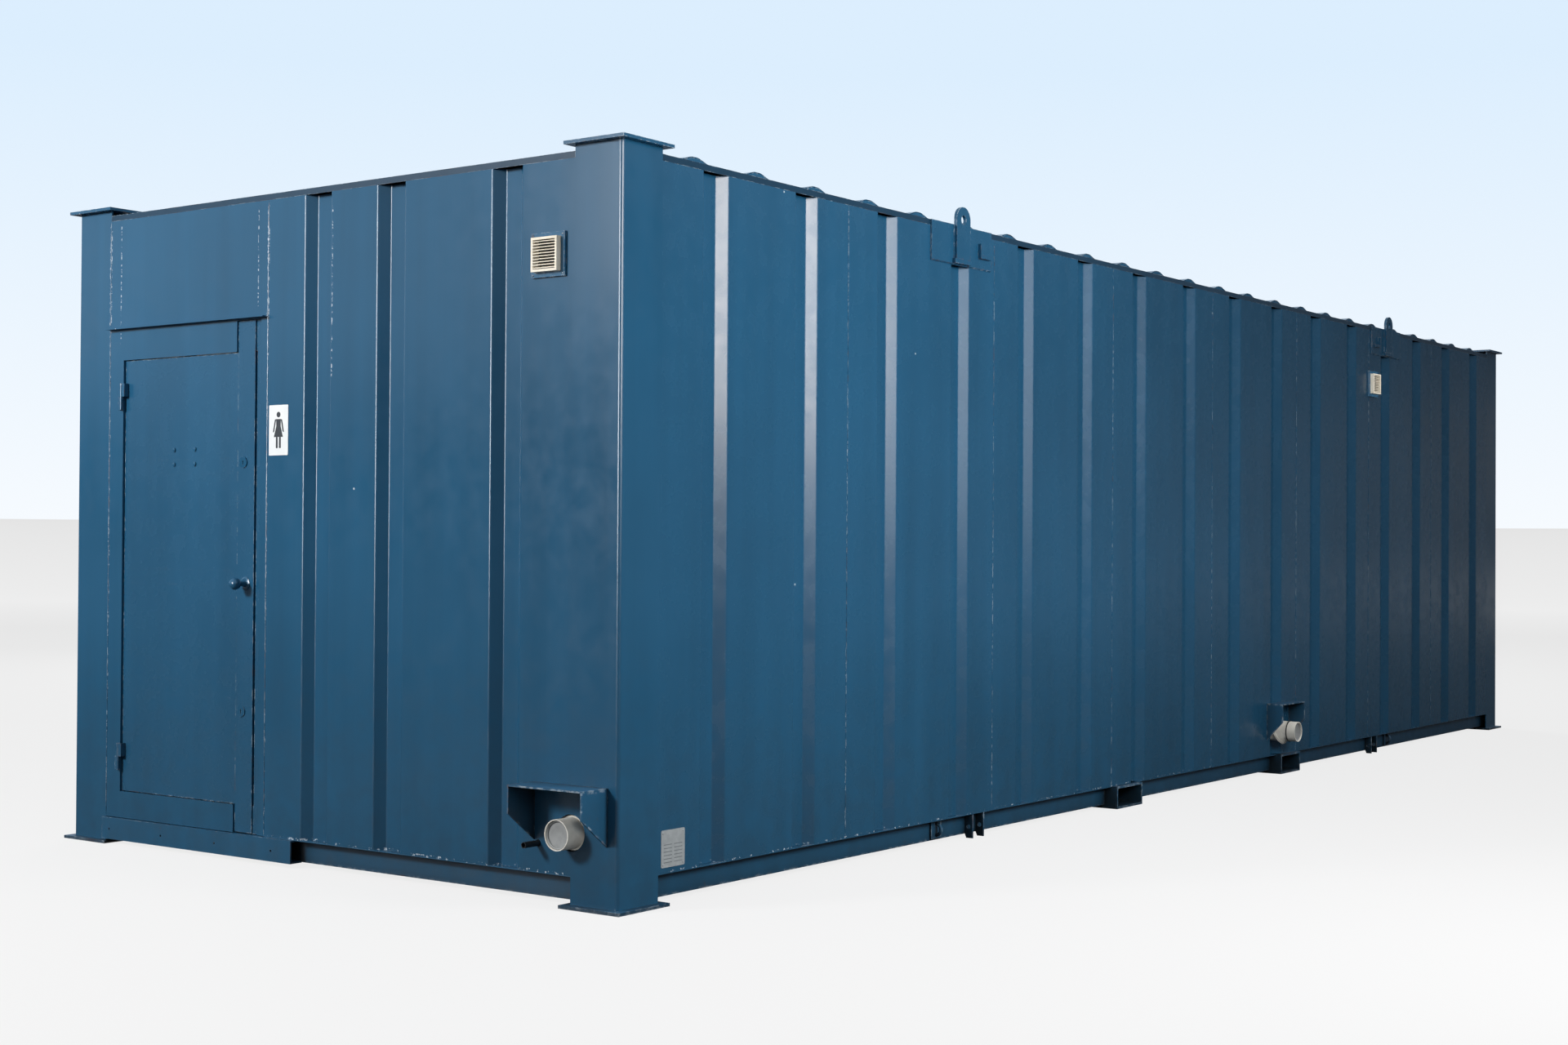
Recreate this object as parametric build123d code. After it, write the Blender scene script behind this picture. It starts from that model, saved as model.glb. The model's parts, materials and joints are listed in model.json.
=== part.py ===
"""Steel toilet block: welded frame, folded wall sheets, an outward-opening door and the fittings inside.

Millimetres. +X runs along the block to the far end, +Y across it to the rear, +Z up.
Pieces are placed about the centre of the block, then moved so that the origin is the middle of the whole
bounding box, on the ground.
"""
from build123d import *
import os
from math import atan2, radians, sin, tan

# Block
BLOCK_LENGTH = 9600.0
BLOCK_WIDTH = 3050.0
POST_TOP = 2667.0
CORNER_PLATE = 12.0
PLATE_OVERHANG = 30.0
PLATE_SLOT_LENGTH = 89.0
PLATE_SLOT_WIDTH = 20.0
POST_WIDTH = 217.0
POST_WALL = 6.0
POST_BEND = 8.0

# Folded wall sheets
SHEET = 3.0
SHEET_FOOT = 112.0
GROOVE_WIDTH = 150.0
GROOVE_DEPTH = 36.0
GROOVE_SLOPE = 37.0
GROOVE_FIRST = 525.0
GROOVES_PER_SHEET = 2
SIDE_SHEETS = 8
SHEET_BEND = 9.0
NEAR_GROOVES = (541.0, 1137.0, 1542.0)
FAR_GROOVE_COUNT = 4
FAR_GROOVE_PITCH = 570.0

# Roof
RAIL_DROP = 21.0
EAVES_LIP = 24.0
EAVES_WIDTH = 100.0
EAVES_DROP = 60.0
EAVES_WALL = 4.0
ROOF_SHEET = 2.0
ROOF_INSET = 9.0
ROOF_SHEETS = 8
RIDGES_PER_SHEET = 3
RIDGE_FIRST = 410.0
RIDGE_LAST = 565.0
RIDGE_WIDTH = 150.0
RIDGE_SLOPE = 55.0
RIDGE_HEIGHT = 17.0
RIDGE_BEND = 60.0
RIDGE_END = 4.0
RIDGE_END_GAP = 1.5

# Base frame
RAIL_FOOT = 22.0
RAIL_HEIGHT = 150.0
RAIL_FLANGE = 65.0
RAIL_WALL = 8.0
JOIST_HEIGHT = 60.0
JOIST_FLANGE = 40.0
JOIST_WALL = 4.0
JOIST_COUNT = 17
POCKET_SPACING = 2000.0
POCKET_OPENING = 250.0
POCKET_CLEAR = 88.0
POCKET_WALL = 10.0

# Lifting and lashing
LUG_GROOVES_BEFORE = 3
LUG_OFFSET = 13.0
LUG_WIDTH = 112.0
LUG_THICK = 15.0
LUG_DROP = 146.0
LUG_EYE_RISE = 23.0
LUG_EYE = 20.0
SPREADER_LENGTH = 494.0
SPREADER_DROP = 168.0
SPREADER_THICK = 8.0
LEDGE_HEIGHT = 20.0
LEDGE_WIDTH = 136.0
CLEAT_OFFSET = 140.0
CLEAT_DROP = 110.0
CLEAT_HEIGHT = 50.0
CLEAT_WIDTH = 14.0
CLEAT_LEDGE = 92.0
GUSSET_FROM_END = 2407.0
GUSSET_GAP = 91.0
GUSSET_THICK = 8.0
GUSSET_FOOT = 4.0
GUSSET_TOP = 108.0
GUSSET_HOLE = 10.0
GUSSET_HOLE_HEIGHT = 53.0
GUSSET_HOLE_IN = 20.0
RING_FROM_END = 2110.0
RING_PAD_LENGTH = 80.0
RING_PAD_HEIGHT = 76.0
RING_PAD = 8.0
RING_RADIUS = 24.0
RING_BAR = 7.0
RING_SIDES = 8

# Lining and floor
LINING_BACK = 84.0
LINING = 12.0
DECK = 18.0
CEILING_DROP = 146.0
CEILING = 12.0
BATTEN_WIDTH = 60.0
ROOF_JOIST_WIDTH = 45.0
ROOF_JOIST_PITCH = 1140.0

# Door set, seen from the near end
DOOR_HINGE_EDGE = 1217.0
DOOR_LOCK_EDGE = 380.0
DOOR_SEAM = 305.0
JAMB_STRIP = 40.0
STRIP_EDGE = 491.0
DOOR_FOOT = 222.0
DOOR_HEAD = 2030.0
HEAD_RAIL_FOOT = 2155.0
HEAD_RAIL = 50.0
SURROUND = 12.0
LEAF_RECESS = 10.0
LEAF_THICK = 45.0
LEAF_SKIN = 3.0
LEAF_GAP = 3.0
LOCK_GAP = 6.0
LOCK_STRIP = 4.0
HINGE_JAMB = 50.0
JAMB_WALL = 4.0
STOP_WIDTH = 22.0
STOP_GAP = 1.0
RIB_WIDTH = 60.0
RIB_COUNT = 3
INNER_PANEL = 9.0
DRIP_RISE = 5.0
DRIP_REACH = 28.0
DRIP_LEG = 22.0
DRIP_WALL = 4.0
SILL_CHANNEL_END = 125.0
SILL_CHANNEL_FOOT = 20.0
SILL_CHANNEL_TOP = 110.0
SILL_CHANNEL_REACH = 20.0
SILL_CHANNEL_WALL = 6.0
SILL_HOLE = 4.5
SILL_HOLE_PITCH = 340.0
SILL_HOLE_FIRST = 240.0
SILL_HOLE_HEIGHT = 62.0
SILL_HOLES = 4

# Door ironmongery
HINGE_HEIGHTS = (369.0, 1877.0)
HINGE_BARREL = 8.0
HINGE_PIN = 5.0
HINGE_HALF = 55.0
HINGE_OFFSET = 8.5
HINGE_SIDE = 3.0
HINGE_FOOT = 10.0
PIN_CLEARANCE = 0.06
LOCK_HEIGHTS = (596.0, 1588.0)
LOCK_Y = 452.0
BOLT_WIDTH = 14.0
BOLT_HEIGHT = 26.0
BOLT_LENGTH = 62.0
BOLT_CLEARANCE = 0.4
CASE_DEPTH = 75.0
CASE_HEIGHT = 140.0
CASE_THICK = 26.0
ESCUTCHEON = 23.0
ESCUTCHEON_THICK = 4.0
KEYHOLE = 3.5
KNOB_Y = 434.0
KNOB_HEIGHT = 1104.0
KNOB_BALL = 24.0
KNOB_REACH = 52.0
KNOB_NECK = 9.0
KNOB_ROSE = 27.0
KNOB_ROSE_THICK = 6.0

# Vents
VENT_DROP = 356.0
VENT_END_Y = 335.0
VENT_GROOVES_BEFORE = 11
VENT_PAST_GROOVE = 350.0
VENT_FRAME = 158.0
VENT_FRAME_THICK = 10.0
VENT_GRILLE = 122.0
VENT_GRILLE_THICK = 32.0
VENT_RIM = 9.0
VENT_SLATS = 10
VENT_SLAT = 2.5
VENT_CLEARANCE = 1.0

# Drainage and water
SOIL_RADIUS = 55.0
SOIL_BORE = 51.8
SOIL_COLLAR = 61.0
SOIL_COLLAR_LENGTH = 25.0
SOIL_COLLAR_IN = 10.0
SOIL_Y = 217.0
NEAR_SOIL_HEIGHT = 262.0
NEAR_OUTLET_REACH = 75.0
SOIL_GROOVES_BEFORE = 9
SOIL_OFFSET = 5.0
SIDE_SOIL_HEIGHT = 248.0
SIDE_OUTLET_REACH = 136.0
SIDE_OUTLET_LENGTH = 81.0
SIDE_RUN_RADIUS = 56.0
SOIL_HOLE_CLEARANCE = 10.0
ELBOW_ANGLE = 30.0
ELBOW_LENGTH = 42.0
ELBOW_RADIUS = 57.0
ELBOW_COLLAR = 60.0
ELBOW_COLLAR_LENGTH = 12.0
HOOD_FRONT = 100.0
HOOD_BACK = 205.0
HOOD_PLATE = 6.0
NEAR_HOOD_Y = 220.0
NEAR_HOOD_DEPTH = 136.0
NEAR_HOOD_WIDTH = 345.0
NEAR_HOOD_TOP = 430.0
SIDE_HOOD_OFFSET = 38.0
SIDE_HOOD_DEPTH = 95.0
SIDE_HOOD_WIDTH = 315.0
SIDE_HOOD_TOP = 405.0
WATER_Y = 370.0
WATER_HEIGHT = 214.0
WATER_REACH = 75.0
WATER_RADIUS = 11.0
WATER_BORE = 9.0
WATER_BORE_DEPTH = 40.0
WATER_BEND = 22.0
WATER_WALL_GAP = 29.0
WATER_RUN_HEIGHT = 540.0
FEED_RADIUS = 7.5
FEED_OFFSET = 120.0
RISER_RADIUS = 50.0
STUB_HEIGHT = 383.0
BOXING_DEPTH = 211.0
BOXING_TOP = 623.0
BOARD = 12.0
HOLE_CLEARANCE = 2.0

# Cubicles
CUBICLE_WIDTH = 950.0
CUBICLES_PER_BANK = 2
CUBICLE_FRONT = 40.0
PANEL = 20.0
PANEL_FOOT = 343.0
PANEL_TOP = 2043.0
CUBICLE_DOOR = 600.0
CUBICLE_GAP = 3.0
HEAD_RAIL_DEPTH = 40.0
HEAD_RAIL_HEIGHT = 30.0
PIVOT_PIN = 5.0
PIVOT_LENGTH = 14.0
PIVOT_BRACKET = 8.0
FOOT_RADIUS = 14.0
SLIDE_HEIGHT = 1150.0
SLIDE_BAR = 14.0
SLIDE_THICK = 10.0
SLIDE_TRAVEL = 30.0
SLIDE_SETBACK = 5.0
SLIDE_STANDOFF = 4.0
GUIDE_WIDTH = 18.0
GUIDE_WALL = 6.0
SLIDE_CLEARANCE = 0.4
SLIDE_STUD = 5.0
SLIDE_STUD_LENGTH = 16.0

# Water closets
RIM_HEIGHT = 400.0
PAN_HALF_WIDTH = 178.0
PAN_HALF_LENGTH = 232.0
PAN_FOOT_HALF_WIDTH = 108.0
PAN_FOOT_HALF_LENGTH = 190.0
PAN_RIM = 38.0
BOWL_DEPTH = 190.0
BOWL_HALF = 55.0
PAN_REACH = 330.0
PAN_DECK_HALF_WIDTH = 150.0
PAN_DECK = 45.0
TRAP_HALF_WIDTH = 70.0
SEAT_THICK = 20.0
SEAT_GAP = 0.5
SEAT_HALF_WIDTH = 185.0
SEAT_HALF_LENGTH = 222.0
SEAT_RING = 62.0
SEAT_HINGE_BACK = 98.0
SEAT_PIN = 5.0
SEAT_KNUCKLE = 11.0
SEAT_KNUCKLE_WIDTH = 26.0
SEAT_KNUCKLE_X = 75.0
SEAT_POST = 15.0
SEAT_SIDE_GAP = 2.0
SEAT_PIN_HEIGHT = 22.0
CISTERN_WIDTH = 380.0
CISTERN_DEPTH = 160.0
CISTERN_HEIGHT = 330.0
CISTERN_WALL = 8.0
CISTERN_CORNER = 20.0
LID_HEIGHT = 22.0
LID_LAP = 6.0
LEVER_X = 140.0
LEVER_DROP = 40.0
LEVER_LENGTH = 78.0
LEVER_BOSS = 13.0
LEVER_THICK = 12.0
LEVER_TIP = 9.0
LEVER_GAP = 0.3
SPINDLE = 6.0
SPINDLE_TAIL = 10.0

# Wash trough and lights
TROUGH_LENGTH = 2400.0
TROUGH_DEPTH = 420.0
TROUGH_TOP = 1043.0
TROUGH_HEIGHT = 170.0
TROUGH_WALL = 4.0
UPSTAND = 150.0
UPSTAND_THICK = 10.0
TROUGH_BRACKETS = 3
BRACKET_DROP = 220.0
BRACKET_REACH = 330.0
BRACKET_THICK = 6.0
WASTE_RADIUS = 22.0
TAPS = 3
TAP_PITCH = 700.0
TAP_RADIUS = 12.0
TAP_REACH = 95.0
TAP_NOZZLE = 10.0
TAP_NOZZLE_DROP = 28.0
LIGHTS = 3
LIGHT_PITCH = 3000.0
LIGHT_LENGTH = 1200.0
LIGHT_WIDTH = 140.0
LIGHT_HEIGHT = 60.0
LIGHT_Y = 700.0

# Values that follow from the sizes above
END = BLOCK_LENGTH / 2
SIDE = BLOCK_WIDTH / 2
SETBACK = GROOVE_DEPTH + SHEET
RAIL_TOP = POST_TOP - RAIL_DROP
SHEET_HEAD = RAIL_TOP - EAVES_LIP
CEILING_FOOT = RAIL_TOP - CEILING_DROP
LUG_FOOT = RAIL_TOP - LUG_DROP
LUG_EYE_HEIGHT = RAIL_TOP + LUG_EYE_RISE
SPREADER_FOOT = RAIL_TOP - SPREADER_DROP
CLEAT_FOOT = RAIL_TOP - CLEAT_DROP
VENT_HEIGHT = RAIL_TOP - VENT_DROP
DRIP_HEIGHT = HEAD_RAIL_FOOT + DRIP_RISE
GROOVE_PITCH = (BLOCK_LENGTH - 2 * GROOVE_FIRST) / (SIDE_SHEETS * GROOVES_PER_SHEET - 1)
RIDGE_PITCH = (BLOCK_LENGTH - RIDGE_FIRST - RIDGE_LAST) / (ROOF_SHEETS * RIDGES_PER_SHEET - 1)
LUG_X = END - GROOVE_FIRST - LUG_GROOVES_BEFORE * GROOVE_PITCH
VENT_SIDE_X = GROOVE_FIRST + VENT_GROOVES_BEFORE * GROOVE_PITCH + VENT_PAST_GROOVE
SIDE_SOIL_X = GROOVE_FIRST + SOIL_GROOVES_BEFORE * GROOVE_PITCH - SOIL_OFFSET
RAIL_HEAD = RAIL_FOOT + RAIL_HEIGHT
FLOOR = RAIL_HEAD + DECK
RAIL_TIP = SETBACK + RAIL_FLANGE
LINING_FACE = LINING_BACK + LINING
WALL = SIDE - LINING_FACE
ROOM_END = END - LINING_FACE
POCKET_TOP = RAIL_HEAD - JOIST_HEIGHT
POCKET_FOOT = POCKET_TOP - POCKET_CLEAR - 2 * POCKET_WALL
LEAF_FACE = -END + LEAF_RECESS
LEAF_BACK = LEAF_FACE + LEAF_THICK
FRAME_FACE = -END + SURROUND
FRAME_BACK = -END + LINING_BACK
HINGE_X = -END - HINGE_OFFSET
HINGE_Y = DOOR_HINGE_EDGE + HINGE_SIDE
STRIP_FACE = LEAF_FACE - LOCK_STRIP
LEAF_LOCK_EDGE = DOOR_LOCK_EDGE + LOCK_GAP
LEAF_HINGE_EDGE = DOOR_HINGE_EDGE - LEAF_GAP
SOIL_LINE = -SIDE + SOIL_Y
BOXING_FACE = -WALL + BOXING_DEPTH
CUBICLE_BACK = CUBICLE_FRONT + PANEL
AXIS_Y = CUBICLE_FRONT + PANEL / 2
RIM = FLOOR + RIM_HEIGHT
PAN_Y = BOXING_FACE + PAN_REACH
SEAT_AXIS_Y = BOXING_FACE + SEAT_HINGE_BACK
SEAT_AXIS_Z = RIM + SEAT_PIN_HEIGHT
CISTERN_FACE = -WALL + CISTERN_DEPTH
LEVER_Z = BOXING_TOP + CISTERN_HEIGHT - LEVER_DROP
BANK = CUBICLE_WIDTH * CUBICLES_PER_BANK
SLIDE_GUIDE = SLIDE_TRAVEL + SLIDE_SETBACK
SLIDE_LENGTH = SLIDE_GUIDE + 2 * (GUIDE_WIDTH + SLIDE_STUD + SLIDE_CLEARANCE) + SLIDE_TRAVEL
FRAME_SHIFT_X = (NEAR_HOOD_DEPTH - PLATE_OVERHANG) / 2
FRAME_SHIFT_Y = (SIDE_OUTLET_REACH - PLATE_OVERHANG) / 2


def block(x0, x1, y0, y1, z0, z1):
    """Box between two opposite corners."""
    return Pos((x0 + x1) / 2, (y0 + y1) / 2, (z0 + z1) / 2) * Box(x1 - x0, y1 - y0, z1 - z0)


def rod_x(x0, x1, y, z, radius):
    """Round bar along X."""
    return Pos((x0 + x1) / 2, y, z) * Rot(0, 90, 0) * Cylinder(radius, x1 - x0)


def rod_y(x, y0, y1, z, radius):
    """Round bar along Y."""
    return Pos(x, (y0 + y1) / 2, z) * Rot(90, 0, 0) * Cylinder(radius, y1 - y0)


def rod_z(x, y, z0, z1, radius):
    """Round bar along Z."""
    return Pos(x, y, (z0 + z1) / 2) * Cylinder(radius, z1 - z0)


def prism_x(outline, x0, x1):
    """Outline of (y, z) points carried along X."""
    plane = Plane(origin=(x0, 0, 0), x_dir=(0, 1, 0), z_dir=(1, 0, 0))
    return extrude(plane * make_face(Polyline(*outline, close=True)), x1 - x0)


def prism_y(outline, y0, y1):
    """Outline of (x, z) points carried along Y."""
    plane = Plane(origin=(0, y1, 0), x_dir=(1, 0, 0), z_dir=(0, -1, 0))
    return extrude(plane * make_face(Polyline(*outline, close=True)), y1 - y0)


def both_ends(part):
    """A piece of the near end and its mirror image at the far end."""
    return [part, mirror(part, about=Plane.YZ)]


def both_sides(part):
    """A piece of the front side and its mirror image at the rear."""
    return [part, mirror(part, about=Plane.XZ)]


def four_corners(part):
    """A piece of the near front corner, repeated at all four corners."""
    return [copy for end in both_ends(part) for copy in both_sides(end)]


def channel(face, back, wall, foot, head):
    """C outline with its web at face and its flanges running to back."""
    inward = wall if back > face else -wall
    return [
        (face, foot), (back, foot), (back, foot + wall), (face + inward, foot + wall),
        (face + inward, head - wall), (back, head - wall), (back, head), (face, head),
    ]


def folded_sheet(start, finish, centres, width, depth, slope, sheet, bend):
    """Face of a folded sheet: flats on y = 0, a trapezium fold of the given depth about each centre."""
    lean = sheet * tan(atan2(depth, slope) / 2)
    outer = [(start, 0)]
    inner = [(start, sheet)]
    outer_bends = []
    inner_bends = []
    for centre in centres:
        left, right = centre - width / 2, centre + width / 2
        outer += [(left, 0), (left + slope, depth), (right - slope, depth), (right, 0)]
        inner += [
            (left - lean, sheet), (left + slope - lean, depth + sheet),
            (right - slope + lean, depth + sheet), (right + lean, sheet),
        ]
        outer_bends += [bend + sheet, bend, bend, bend + sheet]
        inner_bends += [bend, bend + sheet, bend + sheet, bend]
    front = FilletPolyline(*outer, (finish, 0), radius=outer_bends)
    back = FilletPolyline(*inner, (finish, sheet), radius=inner_bends)
    return make_face(front + back + Line(front @ 0, back @ 0) + Line(front @ 1, back @ 1))


def wall_sheet(start, finish, centres):
    """Upright wall sheet along X with its outer face on y = 0."""
    face = folded_sheet(
        start, finish, centres, GROOVE_WIDTH, GROOVE_DEPTH, GROOVE_SLOPE, SHEET, SHEET_BEND
    )
    return Pos(0, 0, SHEET_FOOT) * extrude(face, SHEET_HEAD - SHEET_FOOT)


def groove_centres():
    """Groove centres along a long side, evenly about the middle."""
    count = SIDE_SHEETS * GROOVES_PER_SHEET
    return [(i - (count - 1) / 2) * GROOVE_PITCH for i in range(count)]


def side_sheets():
    """Sheets of a long side, butted at the seams, with their outer face on y = 0."""
    centres = groove_centres()
    edge = END - POST_WIDTH
    sheets = []
    for i in range(SIDE_SHEETS):
        own = centres[GROOVES_PER_SHEET * i:GROOVES_PER_SHEET * (i + 1)]
        start = -edge if i == 0 else own[0] - GROOVE_PITCH / 2
        finish = edge if i == SIDE_SHEETS - 1 else own[-1] + GROOVE_PITCH / 2
        sheets.append(wall_sheet(start, finish, own))
    return sheets


def near_groove_lines():
    """Groove centres of the near end wall, as Y."""
    return [-SIDE + y for y in NEAR_GROOVES]


def far_groove_lines():
    """Groove centres of the far end wall, as Y."""
    return [(i - (FAR_GROOVE_COUNT - 1) / 2) * FAR_GROOVE_PITCH for i in range(FAR_GROOVE_COUNT)]


def cubicle_middles():
    """Middles of the cubicles along X, near bank first."""
    near = [-ROOM_END + CUBICLE_WIDTH * (i + 0.5) for i in range(CUBICLES_PER_BANK)]
    return near + [-x for x in reversed(near)]


def foot_plates():
    inner = POST_WIDTH + PLATE_OVERHANG
    outer = PLATE_OVERHANG
    plate = block(-END - outer, -END + inner, -SIDE - outer, -SIDE + inner, 0, CORNER_PLATE)
    return four_corners(plate)


def top_plates():
    inner = POST_WIDTH + PLATE_OVERHANG
    top = POST_TOP + CORNER_PLATE
    plate = block(-END - PLATE_OVERHANG, -END + inner, -SIDE - PLATE_OVERHANG, -SIDE + inner, POST_TOP, top)
    slot = Rot(0, 0, 90) * SlotOverall(PLATE_SLOT_LENGTH, PLATE_SLOT_WIDTH)
    plate -= Pos(-END - PLATE_OVERHANG / 2, -SIDE + POST_WIDTH / 2, POST_TOP) * extrude(slot, CORNER_PLATE)
    return four_corners(plate)


def near_soil_hole():
    """Clearance hole for the soil pipe through the near end."""
    radius = SOIL_RADIUS + SOIL_HOLE_CLEARANCE
    return rod_x(-END - POST_WIDTH, -ROOM_END + POST_WIDTH, SOIL_LINE, NEAR_SOIL_HEIGHT, radius)


def near_water_hole():
    """Clearance hole for the water pipe through the near wall sheet."""
    radius = WATER_RADIUS + HOLE_CLEARANCE
    return rod_x(-END - SHEET, -END + SETBACK, -SIDE + WATER_Y, WATER_HEIGHT, radius)


def side_soil_hole():
    """Clearance hole for the soil pipe through the front side."""
    radius = SOIL_RADIUS + SOIL_HOLE_CLEARANCE
    return rod_y(-END + SIDE_SOIL_X, -SIDE - SHEET, -WALL + SHEET, SIDE_SOIL_HEIGHT, radius)


def corner_posts():
    """Folded angle posts; the near front one is notched round the soil pipe."""
    outer = FilletPolyline((POST_WIDTH, 0), (0, 0), (0, POST_WIDTH), radius=POST_BEND + POST_WALL)
    inner = FilletPolyline(
        (POST_WIDTH, POST_WALL), (POST_WALL, POST_WALL), (POST_WALL, POST_WIDTH), radius=POST_BEND
    )
    angle = make_face(outer + inner + Line(outer @ 0, inner @ 0) + Line(outer @ 1, inner @ 1))
    post = Pos(-END, -SIDE, CORNER_PLATE) * extrude(angle, POST_TOP - CORNER_PLATE)
    posts = four_corners(post)
    posts[0] = posts[0] - near_soil_hole()
    return posts


def pocket_lines():
    return (-POCKET_SPACING / 2, POCKET_SPACING / 2)


def base_rails():
    """Channel rails; the long ones are cut out round the fork pockets."""
    face = -SIDE + SETBACK
    outline = channel(face, face + RAIL_FLANGE, RAIL_WALL, RAIL_FOOT, RAIL_HEAD)
    rail = prism_x(outline, -END + POST_WALL, END - POST_WALL)
    half = POCKET_OPENING / 2 + POCKET_WALL
    for x in pocket_lines():
        rail -= block(x - half, x + half, face, face + RAIL_FLANGE, POCKET_FOOT, POCKET_TOP)
    face = -END + SETBACK
    outline = channel(face, face + RAIL_FLANGE, RAIL_WALL, RAIL_FOOT, RAIL_HEAD)
    return both_sides(rail) + both_ends(prism_y(outline, -SIDE + RAIL_TIP, SIDE - RAIL_TIP))


def floor_joists():
    first = -END + RAIL_TIP + JOIST_FLANGE
    pitch = (-2 * first - JOIST_FLANGE) / (JOIST_COUNT - 1)
    joists = []
    for i in range(JOIST_COUNT):
        x = first + i * pitch
        outline = channel(x, x + JOIST_FLANGE, JOIST_WALL, POCKET_TOP, RAIL_HEAD)
        joists.append(prism_y(outline, -SIDE + RAIL_TIP, SIDE - RAIL_TIP))
    return joists


def fork_pockets():
    """Plate pockets across the block, open at both sides."""
    reach = SIDE + PLATE_OVERHANG
    half = POCKET_OPENING / 2
    low, high = POCKET_FOOT + POCKET_WALL, POCKET_TOP - POCKET_WALL
    plates = []
    for x in pocket_lines():
        wide = half + POCKET_WALL
        plates.append(block(x - wide, x + wide, -reach, reach, POCKET_FOOT, low))
        plates.append(block(x - wide, x + wide, -reach, reach, high, POCKET_TOP))
        plates.append(block(x - wide, x - half, -reach, reach, low, high))
        plates.append(block(x + half, x + wide, -reach, reach, low, high))
    return plates


def eaves_outline(face):
    """Folded eaves rail: short lip on the wall line, deeper leg inside."""
    lip, leg = SHEET_HEAD, RAIL_TOP - EAVES_DROP
    under = RAIL_TOP - EAVES_WALL
    return [
        (face, lip), (face + EAVES_WALL, lip), (face + EAVES_WALL, under),
        (face + EAVES_WIDTH - EAVES_WALL, under), (face + EAVES_WIDTH - EAVES_WALL, leg),
        (face + EAVES_WIDTH, leg), (face + EAVES_WIDTH, RAIL_TOP), (face, RAIL_TOP),
    ]


def top_rails():
    side = prism_x(eaves_outline(-SIDE), -END + POST_WIDTH, END - POST_WIDTH)
    end = prism_y(eaves_outline(-END), -SIDE + POST_WIDTH, SIDE - POST_WIDTH)
    return both_sides(side) + both_ends(end)


def ridge_end(x):
    """Plate that closes a roof ridge at the eaves, standing on the eaves rail."""
    half = RIDGE_WIDTH / 2 - 3 * RIDGE_END_GAP
    rise = RIDGE_HEIGHT - RIDGE_END_GAP
    lean = RIDGE_SLOPE * rise / RIDGE_HEIGHT
    outline = [
        (x - half, RAIL_TOP), (x + half, RAIL_TOP),
        (x + half - lean, RAIL_TOP + rise), (x - half + lean, RAIL_TOP + rise),
    ]
    face = -SIDE + ROOF_INSET
    return prism_y(outline, face, face + RIDGE_END)


def roof_sheets():
    """Folded roof sheets with their ridges across the block, closed at the eaves by small end plates."""
    span = 2 * (SIDE - ROOF_INSET)
    sheets = []
    plates = []
    for i in range(ROOF_SHEETS):
        first = -END + RIDGE_FIRST + i * RIDGES_PER_SHEET * RIDGE_PITCH
        ridges = [first + j * RIDGE_PITCH for j in range(RIDGES_PER_SHEET)]
        start = -END + ROOF_INSET if i == 0 else ridges[0] - RIDGE_PITCH / 2
        finish = END - ROOF_INSET if i == ROOF_SHEETS - 1 else ridges[-1] + RIDGE_PITCH / 2
        face = folded_sheet(
            start, finish, ridges, RIDGE_WIDTH, RIDGE_HEIGHT, RIDGE_SLOPE, ROOF_SHEET, RIDGE_BEND
        )
        sheets.append(Pos(0, span / 2, RAIL_TOP) * Rot(90, 0, 0) * extrude(face, span))
        for x in ridges:
            plates += both_sides(ridge_end(x))
    return sheets + plates


def vent_hole_side():
    half = VENT_GRILLE / 2 - VENT_RIM
    x = -END + VENT_SIDE_X
    return block(x - half, x + half, -SIDE, -WALL, VENT_HEIGHT - half, VENT_HEIGHT + half)


def vent_hole_end():
    half = VENT_GRILLE / 2 - VENT_RIM
    y = -SIDE + VENT_END_Y
    return block(-END, -ROOM_END, y - half, y + half, VENT_HEIGHT - half, VENT_HEIGHT + half)


def front_wall_sheets():
    return [Pos(0, -SIDE, 0) * sheet - side_soil_hole() - vent_hole_side() for sheet in side_sheets()]


def rear_wall_sheets():
    return [Pos(0, SIDE, 0) * Rot(0, 0, 180) * sheet for sheet in side_sheets()]


def end_wall_sheets():
    """Near wall beside the door, and the whole far wall."""
    edge = SIDE - POST_WIDTH
    near = wall_sheet(-DOOR_SEAM, edge, sorted(-y for y in near_groove_lines()))
    near = Pos(-END, 0, 0) * Rot(0, 0, -90) * near
    near = near - near_soil_hole() - near_water_hole() - vent_hole_end()
    far = Pos(END, 0, 0) * Rot(0, 0, 90) * wall_sheet(-edge, edge, far_groove_lines())
    return [near, far]


def door_surround_plates():
    """Flush plates round the door: hinge side, head, sill and lock-side strip."""
    face, back = -END, FRAME_FACE
    top, edge = SHEET_HEAD, SIDE - POST_WIDTH
    strip = DOOR_SEAM + JAMB_STRIP
    head = [
        (strip, HEAD_RAIL_FOOT), (STRIP_EDGE, HEAD_RAIL_FOOT), (STRIP_EDGE, DOOR_HEAD),
        (DOOR_HINGE_EDGE, DOOR_HEAD), (DOOR_HINGE_EDGE, top), (strip, top),
    ]
    return [
        block(face, back, DOOR_HINGE_EDGE, edge, SHEET_FOOT, top),
        prism_x(head, face, back),
        block(face, back, STRIP_EDGE, DOOR_HINGE_EDGE, SHEET_FOOT, DOOR_FOOT),
        block(face, back, DOOR_SEAM, strip, SHEET_FOOT, top),
    ]


def keep_hole(height):
    """Hole in the lock jamb that takes a thrown bolt."""
    x = bolt_middle()
    half_x = BOLT_WIDTH / 2 + BOLT_CLEARANCE
    half_z = BOLT_HEIGHT / 2 + BOLT_CLEARANCE
    return block(
        x - half_x, x + half_x, DOOR_LOCK_EDGE - JAMB_WALL, DOOR_LOCK_EDGE, height - half_z, height + half_z
    )


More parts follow.
